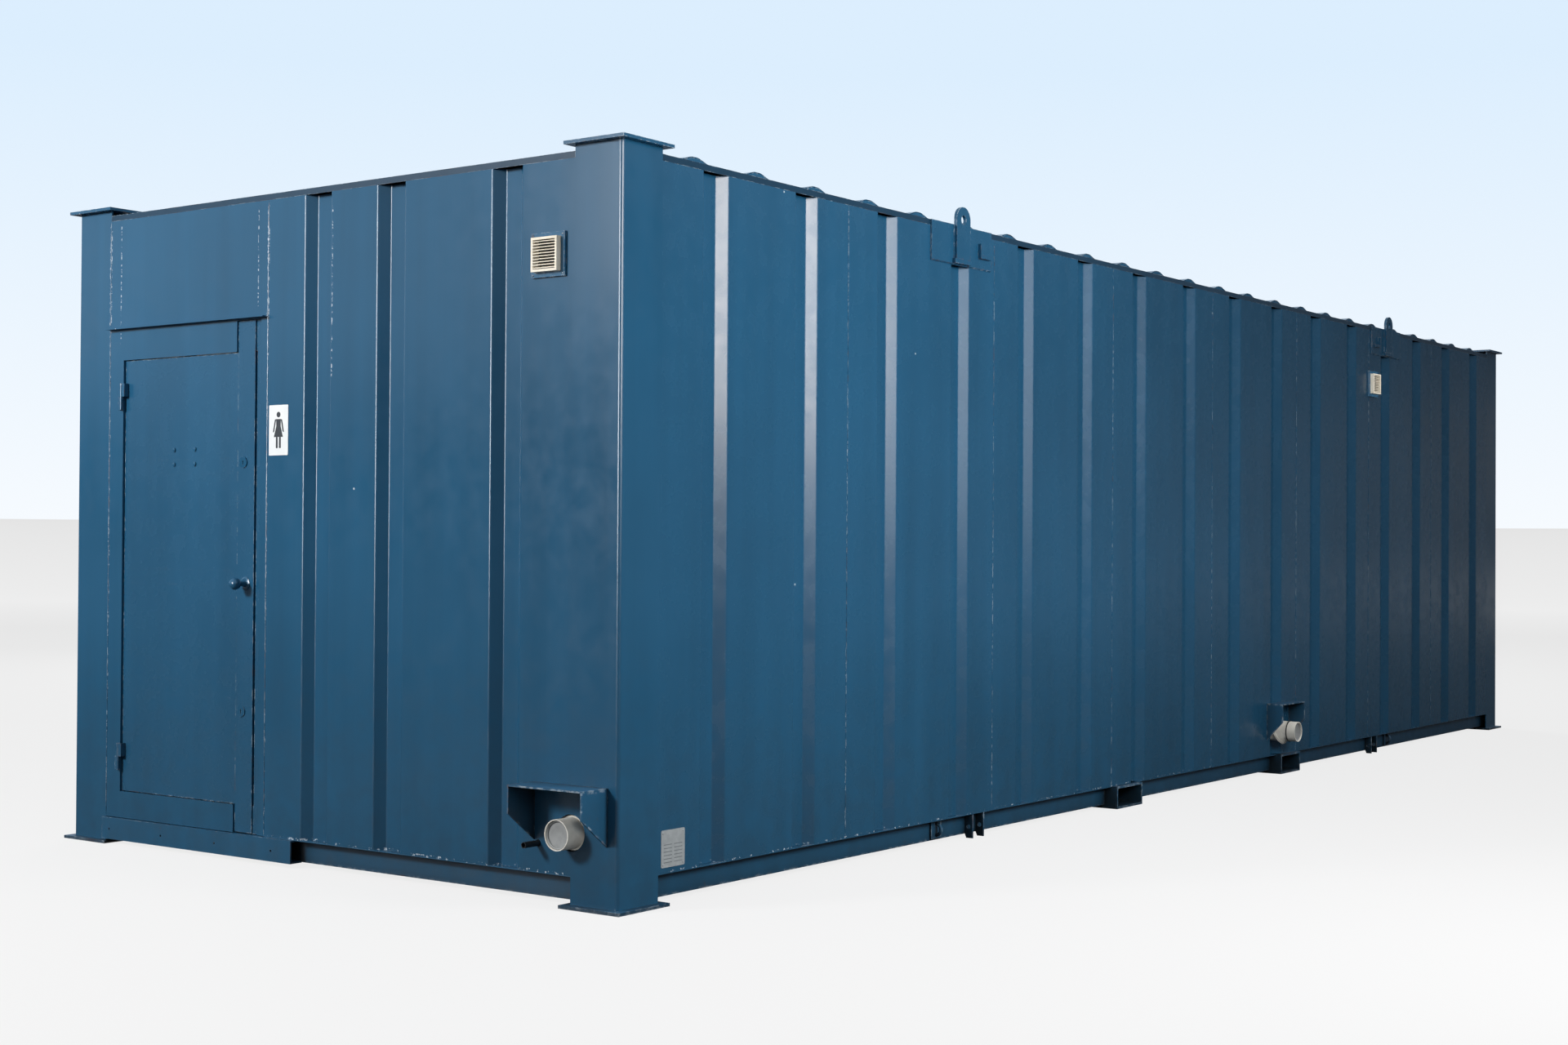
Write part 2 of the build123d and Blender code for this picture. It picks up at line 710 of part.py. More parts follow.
def door_frame():
    """Hollow jambs and head, sill upstand and the stop behind the lock edge."""
    top = RAIL_TOP - EAVES_DROP
    wall = JAMB_WALL
    rail_face = -END + SETBACK
    hinge = block(FRAME_FACE, FRAME_BACK, DOOR_HINGE_EDGE, DOOR_HINGE_EDGE + HINGE_JAMB, RAIL_HEAD, top)
    hinge -= block(
        FRAME_FACE + wall, FRAME_BACK - wall, DOOR_HINGE_EDGE + wall,
        DOOR_HINGE_EDGE + HINGE_JAMB - wall, RAIL_HEAD, top,
    )
    lock = block(FRAME_FACE, FRAME_BACK, DOOR_SEAM, DOOR_LOCK_EDGE, SHEET_FOOT, top)
    lock -= block(
        FRAME_FACE + wall, FRAME_BACK - wall, DOOR_SEAM + wall, DOOR_LOCK_EDGE - wall, SHEET_FOOT, top
    )
    lock -= block(rail_face, FRAME_BACK, DOOR_SEAM, DOOR_LOCK_EDGE, SHEET_FOOT, RAIL_HEAD)
    for height in LOCK_HEIGHTS:
        lock -= keep_hole(height)
    head_top = HEAD_RAIL_FOOT + HEAD_RAIL
    head = block(FRAME_FACE, FRAME_BACK, DOOR_LOCK_EDGE, DOOR_HINGE_EDGE, DOOR_HEAD, head_top)
    sill = prism_y(
        [
            (FRAME_FACE, SHEET_FOOT), (rail_face, SHEET_FOOT), (rail_face, RAIL_HEAD),
            (FRAME_BACK, RAIL_HEAD), (FRAME_BACK, DOOR_FOOT), (FRAME_FACE, DOOR_FOOT),
        ],
        DOOR_LOCK_EDGE, DOOR_HINGE_EDGE,
    )
    stop = block(
        LEAF_BACK + STOP_GAP, FRAME_BACK, DOOR_LOCK_EDGE, DOOR_LOCK_EDGE + STOP_WIDTH, DOOR_FOOT, DOOR_HEAD
    )
    return [hinge, lock, head, sill, stop]


def door_drip_strip():
    """Angle over the door that throws rain clear."""
    outline = [
        (-END, DRIP_HEIGHT), (-END - DRIP_REACH, DRIP_HEIGHT), (-END - DRIP_REACH, DRIP_HEIGHT + DRIP_WALL),
        (-END - DRIP_WALL, DRIP_HEIGHT + DRIP_WALL), (-END - DRIP_WALL, DRIP_HEIGHT + DRIP_LEG),
        (-END, DRIP_HEIGHT + DRIP_LEG),
    ]
    return [prism_y(outline, DOOR_SEAM, SIDE - POST_WIDTH)]


def threshold_channel():
    """Channel below the door, flush over the recessed end rail, with a row of fixing holes."""
    face = -END - SILL_CHANNEL_REACH
    outline = channel(face, -END + SETBACK, SILL_CHANNEL_WALL, SILL_CHANNEL_FOOT, SILL_CHANNEL_TOP)
    part = prism_y(outline, SILL_CHANNEL_END, SIDE - POST_WIDTH)
    for i in range(SILL_HOLES):
        y = SILL_HOLE_FIRST + i * SILL_HOLE_PITCH
        part -= rod_x(face, face + SILL_CHANNEL_WALL, y, SILL_HOLE_HEIGHT, SILL_HOLE)
    return [part]


def leaf_edges():
    """Bottom and top of the leaf, and of its full-height lock strip."""
    return (
        DOOR_FOOT + LEAF_GAP, DOOR_HEAD - LEAF_GAP,
        SHEET_FOOT + LEAF_GAP, HEAD_RAIL_FOOT - LEAF_GAP,
    )


def bolt_middle():
    """Middle of the bolts through the thickness of the leaf."""
    return LEAF_FACE + LEAF_SKIN + CASE_THICK / 2


def door_leaf():
    """Pressed tray with welded ribs and the lock strip along its free edge."""
    foot, head, strip_foot, strip_head = leaf_edges()
    skin = LEAF_SKIN
    leaf = block(LEAF_FACE, LEAF_BACK, LEAF_LOCK_EDGE, LEAF_HINGE_EDGE, foot, head)
    leaf -= block(
        LEAF_FACE + skin, LEAF_BACK, LEAF_LOCK_EDGE + skin, LEAF_HINGE_EDGE - skin, foot + skin, head - skin
    )
    leaf += block(STRIP_FACE, LEAF_FACE, LEAF_LOCK_EDGE, STRIP_EDGE - LEAF_GAP, strip_foot, strip_head)
    pitch = (head - foot) / (RIB_COUNT + 1)
    for i in range(RIB_COUNT):
        z = foot + (i + 1) * pitch
        leaf += block(
            LEAF_FACE + skin, LEAF_BACK - INNER_PANEL, LEAF_LOCK_EDGE + CASE_DEPTH + BOLT_LENGTH,
            LEAF_HINGE_EDGE - skin, z - RIB_WIDTH / 2, z + RIB_WIDTH / 2,
        )
    half_x = BOLT_WIDTH / 2 + BOLT_CLEARANCE
    half_z = BOLT_HEIGHT / 2 + BOLT_CLEARANCE
    x = bolt_middle()
    for z in LOCK_HEIGHTS:
        leaf -= block(x - half_x, x + half_x, LEAF_LOCK_EDGE, LEAF_LOCK_EDGE + skin, z - half_z, z + half_z)
    return [leaf]


def door_inner_panel():
    foot, head = leaf_edges()[:2]
    edge = LEAF_SKIN + BOLT_CLEARANCE
    return [block(
        LEAF_BACK - INNER_PANEL, LEAF_BACK, LEAF_LOCK_EDGE + edge, LEAF_HINGE_EDGE - edge,
        foot + edge, head - edge,
    )]


def door_hinge_pins():
    """Lower hinge barrels with their pins, welded to the hinge-side plate."""
    halves = []
    for z in HINGE_HEIGHTS:
        half = rod_z(HINGE_X, HINGE_Y, z - HINGE_HALF, z - LEAF_GAP / 10, HINGE_BARREL)
        half += rod_z(HINGE_X, HINGE_Y, z - HINGE_HALF, z + HINGE_HALF - HINGE_PIN, HINGE_PIN)
        half += block(HINGE_X, -END, HINGE_Y, HINGE_Y + 2 * HINGE_FOOT, z - HINGE_HALF, z - LEAF_GAP / 10)
        halves.append(half)
    return halves


def door_hinge_barrels():
    """Upper hinge barrels, cranked down to the face of the leaf."""
    halves = []
    for z in HINGE_HEIGHTS:
        top = z + HINGE_HALF
        near = LEAF_HINGE_EDGE - 2 * HINGE_FOOT
        half = rod_z(HINGE_X, HINGE_Y, z, top, HINGE_BARREL)
        half += block(HINGE_X - HINGE_FOOT / 2, HINGE_X + HINGE_FOOT / 2, near, HINGE_Y, z, top)
        half += block(HINGE_X - HINGE_FOOT / 2, LEAF_FACE, near, near + HINGE_FOOT, z, top)
        half -= rod_z(HINGE_X, HINGE_Y, z, top, HINGE_PIN + PIN_CLEARANCE)
        halves.append(half)
    return halves


def door_furniture():
    """Ball knob on its rose, and two keyhole escutcheons."""
    thick = KNOB_ROSE_THICK
    profile = Polyline(
        (0, 0), (KNOB_ROSE, 0), (KNOB_ROSE, thick / 2), (KNOB_ROSE - thick, thick),
        (KNOB_NECK * 1.5, thick), (KNOB_NECK, KNOB_REACH / 2), (KNOB_NECK, KNOB_REACH),
        (0, KNOB_REACH), close=True,
    )
    knob = revolve(make_face(Plane.XZ * profile), Axis.Z) + Pos(0, 0, KNOB_REACH) * Sphere(KNOB_BALL)
    pieces = [Pos(STRIP_FACE, KNOB_Y, KNOB_HEIGHT) * Rot(0, -90, 0) * knob]
    front = STRIP_FACE - ESCUTCHEON_THICK
    for z in LOCK_HEIGHTS:
        disc = rod_x(front, STRIP_FACE, LOCK_Y, z, ESCUTCHEON)
        disc -= rod_x(front, STRIP_FACE, LOCK_Y, z + KEYHOLE, KEYHOLE)
        slot = KEYHOLE / 2
        low, high = z - 3 * KEYHOLE, z + KEYHOLE
        pieces.append(disc - block(front, STRIP_FACE, LOCK_Y - slot, LOCK_Y + slot, low, high))
    return pieces


def bolt_at(height):
    """Lock bolt, drawn back flush with the edge of the leaf."""
    x = bolt_middle()
    front = LEAF_LOCK_EDGE + LEAF_SKIN / 2
    return block(
        x - BOLT_WIDTH / 2, x + BOLT_WIDTH / 2, front, front + BOLT_LENGTH,
        height - BOLT_HEIGHT / 2, height + BOLT_HEIGHT / 2,
    )


def door_lock_cases():
    """Mortice lock cases behind the strip, each with a channel for its bolt."""
    x0 = LEAF_FACE + LEAF_SKIN
    y0 = LEAF_LOCK_EDGE + LEAF_SKIN
    mid = bolt_middle()
    half_x = BOLT_WIDTH / 2 + BOLT_CLEARANCE
    half_z = BOLT_HEIGHT / 2 + BOLT_CLEARANCE
    cases = []
    for z in LOCK_HEIGHTS:
        case = block(x0, x0 + CASE_THICK, y0, y0 + CASE_DEPTH, z - CASE_HEIGHT / 2, z + CASE_HEIGHT / 2)
        case -= block(mid - half_x, mid + half_x, y0, y0 + BOLT_LENGTH, z - half_z, z + half_z)
        cases.append(case)
    return cases


def lifting_lugs():
    """Eye plates on the spreader plates."""
    face = -SIDE - SPREADER_THICK
    x = -LUG_X - LUG_OFFSET
    half = LUG_WIDTH / 2
    lug = block(x - half, x + half, face - LUG_THICK, face, LUG_FOOT, LUG_EYE_HEIGHT)
    lug += rod_y(x, face - LUG_THICK, face, LUG_EYE_HEIGHT, half)
    lug -= rod_y(x, face - LUG_THICK, face, LUG_EYE_HEIGHT, LUG_EYE)
    return four_corners(lug)


def lug_spreader_plates():
    """Plates that close the groove behind each lug, with a ledge below it and a cleat beside it."""
    face = -SIDE - SPREADER_THICK
    reach = face - LUG_THICK
    half = SPREADER_LENGTH / 2
    plate = block(-LUG_X - half, -LUG_X + half, face, -SIDE, SPREADER_FOOT, RAIL_TOP)
    x = -LUG_X - LUG_OFFSET
    ledge = LEDGE_WIDTH / 2
    plate += block(x - ledge, x + ledge, reach, face, LUG_FOOT - LEDGE_HEIGHT, LUG_FOOT)
    x = -LUG_X + CLEAT_OFFSET - CLEAT_WIDTH / 2
    plate += block(x, x + CLEAT_WIDTH, reach, face, CLEAT_FOOT, CLEAT_FOOT + CLEAT_HEIGHT)
    plate += block(x, x + CLEAT_LEDGE, reach, face, CLEAT_FOOT - CLEAT_WIDTH, CLEAT_FOOT)
    return four_corners(plate)


def tie_down_brackets():
    """Pairs of holed gussets and half-ring lashing eyes on the base side rails."""
    rail = -SIDE + SETBACK
    gusset = [
        (-SIDE, GUSSET_FOOT), (rail - RING_PAD, GUSSET_FOOT), (rail, RAIL_FOOT),
        (rail, GUSSET_TOP), (-SIDE, GUSSET_TOP),
    ]
    pieces = []
    for offset in (-GUSSET_GAP / 2, GUSSET_GAP / 2):
        x = -END + GUSSET_FROM_END + offset
        x0, x1 = x - GUSSET_THICK / 2, x + GUSSET_THICK / 2
        hole = rod_x(x0, x1, -SIDE + GUSSET_HOLE_IN, GUSSET_HOLE_HEIGHT, GUSSET_HOLE)
        pieces += four_corners(prism_x(gusset, x0, x1) - hole)
    x = -END + RING_FROM_END
    z = (RAIL_FOOT + SHEET_FOOT) / 2
    pad = rail - RING_PAD
    bend = Pos(x, pad, z) * Rot(0, 90, 0) * CenterArc((0, 0), RING_RADIUS, 180, 180)
    bar = Plane(origin=bend @ 0, x_dir=(1, 0, 0), z_dir=bend % 0) * RegularPolygon(RING_BAR, RING_SIDES)
    eye = sweep(bar, path=bend)
    half_x, half_z = RING_PAD_LENGTH / 2, RING_PAD_HEIGHT / 2
    eye += block(x - half_x, x + half_x, pad, rail, z - half_z, z + half_z)
    return pieces + four_corners(eye)


def vent_places():
    """Turns a vent modelled about the origin, facing -Y, into the side vent and the end vent."""
    side = Pos(-END + VENT_SIDE_X, -SIDE, VENT_HEIGHT)
    end = Pos(-END, -SIDE + VENT_END_Y, VENT_HEIGHT) * Rot(0, 0, -90)
    return side, end


def vent_frames():
    half = VENT_FRAME / 2
    inner = VENT_GRILLE / 2 + VENT_CLEARANCE
    frame = block(-half, half, -VENT_FRAME_THICK, 0, -half, half)
    frame -= block(-inner, inner, -VENT_FRAME_THICK, 0, -inner, inner)
    return [place * frame for place in vent_places()]


def vent_grilles():
    """Louvred grilles: a moulded rim with sloping slats."""
    half = VENT_GRILLE / 2
    inner = half - VENT_RIM
    grille = block(-half, half, -VENT_GRILLE_THICK, 0, -half, half)
    grille -= block(-inner, inner, -VENT_GRILLE_THICK, 0, -inner, inner)
    pitch = 2 * inner / VENT_SLATS
    depth = VENT_GRILLE_THICK / 2
    for i in range(VENT_SLATS):
        z = -inner + (i + 0.25) * pitch
        front, rise = -VENT_GRILLE_THICK, pitch / 2
        slat = [
            (front, z), (front, z + VENT_SLAT),
            (front + depth, z + VENT_SLAT + rise), (front + depth, z + rise),
        ]
        grille += prism_x(slat, -inner, inner)
    return [place * grille for place in vent_places()]


def hood(place, width, depth, top):
    """Top plate and two chamfered cheeks, modelled about the origin on y = 0, facing -Y."""
    half = width / 2
    low = top - HOOD_PLATE
    cheek = [(0, low), (-depth, low), (-depth, top - HOOD_FRONT), (0, top - HOOD_BACK)]
    plates = [
        block(-half, half, -depth, 0, low, top),
        prism_x(cheek, -half, -half + HOOD_PLATE),
        prism_x(cheek, half - HOOD_PLATE, half),
    ]
    return [place * plate for plate in plates]


def pipe_hoods():
    near = Pos(-END, -SIDE + NEAR_HOOD_Y, 0) * Rot(0, 0, -90)
    side = Pos(-END + SIDE_SOIL_X + SIDE_HOOD_OFFSET, -SIDE, 0)
    plates = hood(near, NEAR_HOOD_WIDTH, NEAR_HOOD_DEPTH, NEAR_HOOD_TOP)
    return plates + hood(side, SIDE_HOOD_WIDTH, SIDE_HOOD_DEPTH, SIDE_HOOD_TOP)


def soil_branch(x, height):
    """Riser from a collector, with the stub that meets a pan."""
    riser = rod_z(x, SOIL_LINE, height, STUB_HEIGHT + RISER_RADIUS, RISER_RADIUS)
    return riser + rod_y(x, SOIL_LINE, BOXING_FACE, STUB_HEIGHT, RISER_RADIUS)


def soil_pipes():
    """Two collectors behind the boxing, each ending in a spigot outside the wall."""
    middles = cubicle_middles()
    mouth = -END - NEAR_OUTLET_REACH
    near_end = middles[CUBICLES_PER_BANK - 1] + 2 * RISER_RADIUS
    near = rod_x(mouth, near_end, SOIL_LINE, NEAR_SOIL_HEIGHT, SOIL_RADIUS)
    collar = -END + SOIL_COLLAR_IN
    near += rod_x(collar, collar + SOIL_COLLAR_LENGTH, SOIL_LINE, NEAR_SOIL_HEIGHT, SOIL_COLLAR)
    for x in middles[:CUBICLES_PER_BANK]:
        near += soil_branch(x, NEAR_SOIL_HEIGHT)
    near -= rod_x(mouth, near_end - SOIL_RADIUS / 2, SOIL_LINE, NEAR_SOIL_HEIGHT, SOIL_BORE)

    x = -END + SIDE_SOIL_X
    mouth = -SIDE - SIDE_OUTLET_REACH
    far_end = middles[-1] + 2 * RISER_RADIUS
    side = rod_x(x - SOIL_RADIUS, far_end, SOIL_LINE, SIDE_SOIL_HEIGHT, SOIL_RADIUS)
    socket = mouth + SIDE_OUTLET_LENGTH - ELBOW_RADIUS * sin(radians(ELBOW_ANGLE))
    side += rod_y(x, mouth, socket, SIDE_SOIL_HEIGHT, SOIL_RADIUS)
    side += rod_y(x, socket, SOIL_LINE, SIDE_SOIL_HEIGHT, SIDE_RUN_RADIUS)
    for middle in middles[CUBICLES_PER_BANK:]:
        side += soil_branch(middle, SIDE_SOIL_HEIGHT)
    tilt = Pos(x, mouth + SIDE_OUTLET_LENGTH, SIDE_SOIL_HEIGHT) * Rot(-90 - ELBOW_ANGLE, 0, 0)
    side += tilt * Pos(0, 0, ELBOW_LENGTH / 2) * Cylinder(ELBOW_RADIUS, ELBOW_LENGTH)
    collar = Cylinder(ELBOW_COLLAR, ELBOW_COLLAR_LENGTH)
    side += tilt * Pos(0, 0, ELBOW_LENGTH - ELBOW_COLLAR_LENGTH / 2) * collar
    side -= rod_y(x, mouth, SOIL_LINE, SIDE_SOIL_HEIGHT, SOIL_BORE)
    return [near, side]


def water_route():
    """Water pipe from its stub outside, up the wall cavity and along the boxing."""
    cavity = -END + (SETBACK + LINING_BACK) / 2
    y_in, y_run = -SIDE + WATER_Y, -WALL + WATER_WALL_GAP
    last = cubicle_middles()[-1] + CISTERN_WIDTH / 2
    low, high = WATER_HEIGHT, WATER_RUN_HEIGHT
    return [
        (-END - WATER_REACH, y_in, low), (cavity, y_in, low), (cavity, y_in, high),
        (cavity, y_run, high), (last, y_run, high),
    ]


def water_pipe():
    route = water_route()
    path = FilletPolyline(*route, radius=WATER_BEND)
    start = Plane(origin=route[0], z_dir=(1, 0, 0))
    pipe = sweep(start * Circle(WATER_RADIUS), path=path)
    tip, y, z = route[0]
    pipe -= rod_x(tip, tip + WATER_BORE_DEPTH, y, z, WATER_BORE)
    for x in cubicle_middles():
        pipe += rod_z(x + FEED_OFFSET, route[-1][1], WATER_RUN_HEIGHT, BOXING_TOP, FEED_RADIUS)
    return [pipe]


def timber_framing():
    """Battens behind the grooves, and roof joists under the roof sheets."""
    depth = (SETBACK, LINING_BACK)
    half = BATTEN_WIDTH / 2
    top = SHEET_HEAD
    pieces = []
    for x in groove_centres():
        batten = block(x - half, x + half, -SIDE + depth[0], -SIDE + depth[1], RAIL_HEAD, top)
        rear = mirror(batten, about=Plane.XZ)
        clear = abs(x + END - SIDE_SOIL_X) > SOIL_RADIUS + BATTEN_WIDTH
        pieces += [batten, rear] if clear else [rear]
    for y in near_groove_lines():
        pieces.append(block(-END + depth[0], -END + depth[1], y - half, y + half, RAIL_HEAD, top))
    for y in far_groove_lines():
        pieces.append(block(END - depth[1], END - depth[0], y - half, y + half, RAIL_HEAD, top))
    count = int((2 * END - 2 * POST_WIDTH) / ROOF_JOIST_PITCH)
    reach = SIDE - EAVES_WIDTH
    for i in range(count):
        x = (i - (count - 1) / 2) * ROOF_JOIST_PITCH
        wide = ROOF_JOIST_WIDTH / 2
        pieces.append(block(x - wide, x + wide, -reach, reach, CEILING_FOOT + CEILING, RAIL_TOP))
    return pieces


def floor_deck():
    x, y = END - LINING_BACK, SIDE - LINING_BACK
    return [block(-x, x, -y, y, RAIL_HEAD, FLOOR)]


def wall_linings():
    """Lining boards, cut round the door, the vents and the pipes."""
    x, y = END - LINING_BACK, SIDE - LINING_BACK
    front = block(-x, x, -y, -WALL, FLOOR, CEILING_FOOT) - side_soil_hole() - vent_hole_side()
    rear = block(-x, x, WALL, y, FLOOR, CEILING_FOOT)
    far = block(ROOM_END, x, -WALL, WALL, FLOOR, CEILING_FOOT)
    opening = DOOR_LOCK_EDGE + STOP_WIDTH
    near = block(-x, -ROOM_END, -WALL, opening, FLOOR, CEILING_FOOT) - near_soil_hole() - vent_hole_end()
    y_run = water_route()[-1][1]
    near -= rod_x(-x, -ROOM_END, y_run, WATER_RUN_HEIGHT, WATER_RADIUS + HOLE_CLEARANCE)
    return [
        front, rear, far, near,
        block(-x, -ROOM_END, DOOR_HINGE_EDGE, WALL, FLOOR, CEILING_FOOT),
        block(-x, -ROOM_END, opening, DOOR_HINGE_EDGE, DOOR_HEAD, CEILING_FOOT),
    ]


def ceiling_lining():
    x, y = END - LINING_BACK, SIDE - LINING_BACK
    return [block(-x, x, -y, y, CEILING_FOOT, CEILING_FOOT + CEILING)]


def pipe_boxing():
    """Front board and shelf that hide the pipes along the front wall."""
    board = block(-ROOM_END, ROOM_END, BOXING_FACE - BOARD, BOXING_FACE, FLOOR, BOXING_TOP - BOARD)
    shelf = block(-ROOM_END, ROOM_END, -WALL, BOXING_FACE, BOXING_TOP - BOARD, BOXING_TOP)
    y_run = water_route()[-1][1]
    for x in cubicle_middles():
        board -= rod_y(x, BOXING_FACE - BOARD, BOXING_FACE, STUB_HEIGHT, RISER_RADIUS + HOLE_CLEARANCE)
        shelf -= rod_z(x + FEED_OFFSET, y_run, BOXING_TOP - BOARD, BOXING_TOP, FEED_RADIUS + HOLE_CLEARANCE)
    return [board, shelf]


def divider_lines():
    """Middles of the panels between cubicles, near bank first."""
    near = [-ROOM_END + CUBICLE_WIDTH * (i + 1) for i in range(CUBICLES_PER_BANK)]
    return near + [-x for x in reversed(near)]


def cubicle_panels():
    """Divider panels notched over the boxing, and the pilasters beside the doors."""
    outline = [
        (-WALL, BOXING_TOP), (BOXING_FACE, BOXING_TOP), (BOXING_FACE, PANEL_FOOT),
        (CUBICLE_FRONT, PANEL_FOOT), (CUBICLE_FRONT, PANEL_TOP), (-WALL, PANEL_TOP),
    ]
    panels = [prism_x(outline, x - PANEL / 2, x + PANEL / 2) for x in divider_lines()]
    half = CUBICLE_DOOR / 2 + CUBICLE_GAP
    near = cubicle_middles()[:CUBICLES_PER_BANK]
    starts = [-ROOM_END] + [x + half for x in near]
    finishes = [x - half for x in near] + [-ROOM_END + BANK + PANEL / 2]
    for start, finish in zip(starts, finishes):
        for x0, x1 in ((start, finish), (-finish, -start)):
            panels.append(block(x0, x1, CUBICLE_FRONT, CUBICLE_BACK, PANEL_FOOT, PANEL_TOP))
    return panels


def pivot_x(middle):
    """Pivot line of a cubicle door, one half thickness in from its hinge edge."""
    return middle - CUBICLE_DOOR / 2 + PANEL / 2


def slide_span(middle):
    """Bolt of a cubicle door along X, drawn back behind the free edge."""
    front = middle + CUBICLE_DOOR / 2 - SLIDE_SETBACK
    return front - SLIDE_LENGTH, front


def slide_depth():
    """Bolt of a cubicle door through Y, standing off the inner face."""
    return CUBICLE_FRONT - SLIDE_STANDOFF - SLIDE_THICK, CUBICLE_FRONT - SLIDE_STANDOFF


def slide_strap(x0, x1):
    """Strap on an inner face that holds a sliding bolt."""
    y0, y1 = slide_depth()
    half = SLIDE_BAR / 2 + SLIDE_CLEARANCE
    wall = GUIDE_WALL
    strap = block(x0, x1, y0 - wall, CUBICLE_FRONT, SLIDE_HEIGHT - half - wall, SLIDE_HEIGHT + half + wall)
    return strap - block(
        x0, x1, y0 - SLIDE_CLEARANCE, y1 + SLIDE_CLEARANCE, SLIDE_HEIGHT - half, SLIDE_HEIGHT + half
    )


def cubicle_hardware():
    """Head rails, pivot brackets, feet and bolt keeps of the cubicles."""
    half = HEAD_RAIL_DEPTH / 2
    top = PANEL_TOP + HEAD_RAIL_HEIGHT
    hole = PIVOT_PIN + PIN_CLEARANCE
    pieces = []
    for sign in (-1, 1):
        ends = sorted((sign * ROOM_END, sign * (ROOM_END - BANK - PANEL / 2)))
        rail = block(*ends, AXIS_Y - half, AXIS_Y + half, PANEL_TOP, top)
        for x in cubicle_middles():
            rail -= rod_z(pivot_x(x), AXIS_Y, PANEL_TOP, top, hole)
        pieces.append(rail)
    edge = CUBICLE_DOOR / 2 + CUBICLE_GAP
    for x in cubicle_middles():
        pivot = pivot_x(x)
        low = PANEL_FOOT - PIVOT_BRACKET
        bracket = block(pivot - 2 * PANEL, pivot + PANEL, CUBICLE_FRONT, CUBICLE_BACK, low, PANEL_FOOT)
        pieces.append(bracket - rod_z(pivot, AXIS_Y, low, PANEL_FOOT, hole))
        keep = x + edge + SLIDE_SETBACK
        pieces.append(slide_strap(keep, keep + GUIDE_WIDTH))
        for foot in (x - edge - 4 * FOOT_RADIUS, x + edge + 2 * FOOT_RADIUS):
            pieces.append(rod_z(foot, AXIS_Y, FLOOR, PANEL_FOOT, FOOT_RADIUS))
    return pieces


def cubicle_door(middle):
    """Cubicle door with a rounded pivot edge, its pivot pins and the straps of its bolt."""
    pivot = pivot_x(middle)
    free = middle + CUBICLE_DOOR / 2
    foot, head = PANEL_FOOT + CUBICLE_GAP, PANEL_TOP - CUBICLE_GAP
    leaf = block(pivot, free, CUBICLE_FRONT, CUBICLE_BACK, foot, head)
    leaf += rod_z(pivot, AXIS_Y, foot, head, PANEL / 2)
    leaf += rod_z(pivot, AXIS_Y, foot - PIVOT_LENGTH + CUBICLE_GAP, head + PIVOT_LENGTH, PIVOT_PIN)
    x0, x1 = slide_span(middle)
    leaf += slide_strap(x0 + SLIDE_GUIDE, x0 + SLIDE_GUIDE + GUIDE_WIDTH)
    return leaf + slide_strap(x1 - GUIDE_WIDTH, x1)


def cubicle_bolt(middle):
    """Sliding privacy bolt with a finger stud."""
    x0, x1 = slide_span(middle)
    y0, y1 = slide_depth()
    bolt = block(x0, x1, y0, y1, SLIDE_HEIGHT - SLIDE_BAR / 2, SLIDE_HEIGHT + SLIDE_BAR / 2)
    stud = x0 + SLIDE_GUIDE + GUIDE_WIDTH + SLIDE_STUD + SLIDE_CLEARANCE
    return bolt + rod_y(stud, y0 - SLIDE_STUD_LENGTH, y0, SLIDE_HEIGHT, SLIDE_STUD)


def oval(half_width, half_length, y, z):
    return Pos(0, y, z) * Ellipse(half_width, half_length)


def seat_span(side, start, finish):
    """Span along X to one side of the middle, lower end first."""
    return sorted((side * start, side * finish))


def wc_pan():
    """Pedestal pan: flared foot, open bowl, trap, rear deck and the posts of the seat hinge."""
    back = BOXING_FACE
    pan = loft([
        oval(PAN_FOOT_HALF_WIDTH, PAN_FOOT_HALF_LENGTH, PAN_Y, FLOOR),
        oval(PAN_HALF_WIDTH, PAN_HALF_LENGTH, PAN_Y, RIM),
    ])
    pan += block(-PAN_DECK_HALF_WIDTH, PAN_DECK_HALF_WIDTH, back, PAN_Y, RIM - PAN_DECK, RIM)
    trap = TRAP_HALF_WIDTH
    pan += block(-trap, trap, back, PAN_Y, STUB_HEIGHT - trap, RIM - PAN_DECK)
    pan -= loft([
        oval(BOWL_HALF, BOWL_HALF, PAN_Y, RIM - BOWL_DEPTH),
        oval(PAN_HALF_WIDTH - PAN_RIM, PAN_HALF_LENGTH - PAN_RIM, PAN_Y, RIM),
    ])
    inner = SEAT_KNUCKLE_X + SEAT_KNUCKLE_WIDTH / 2 + SEAT_SIDE_GAP
    for side in (-1, 1):
        x0, x1 = seat_span(side, inner, inner + SEAT_POST)
        pan += block(
            x0, x1, SEAT_AXIS_Y - SEAT_KNUCKLE, SEAT_AXIS_Y + SEAT_KNUCKLE, RIM, SEAT_AXIS_Z + SEAT_KNUCKLE
        )
        x0, x1 = seat_span(side, inner - SEAT_SIDE_GAP - SEAT_KNUCKLE_WIDTH, inner)
        pan += rod_x(x0, x1, SEAT_AXIS_Y, SEAT_AXIS_Z, SEAT_PIN)
    return pan


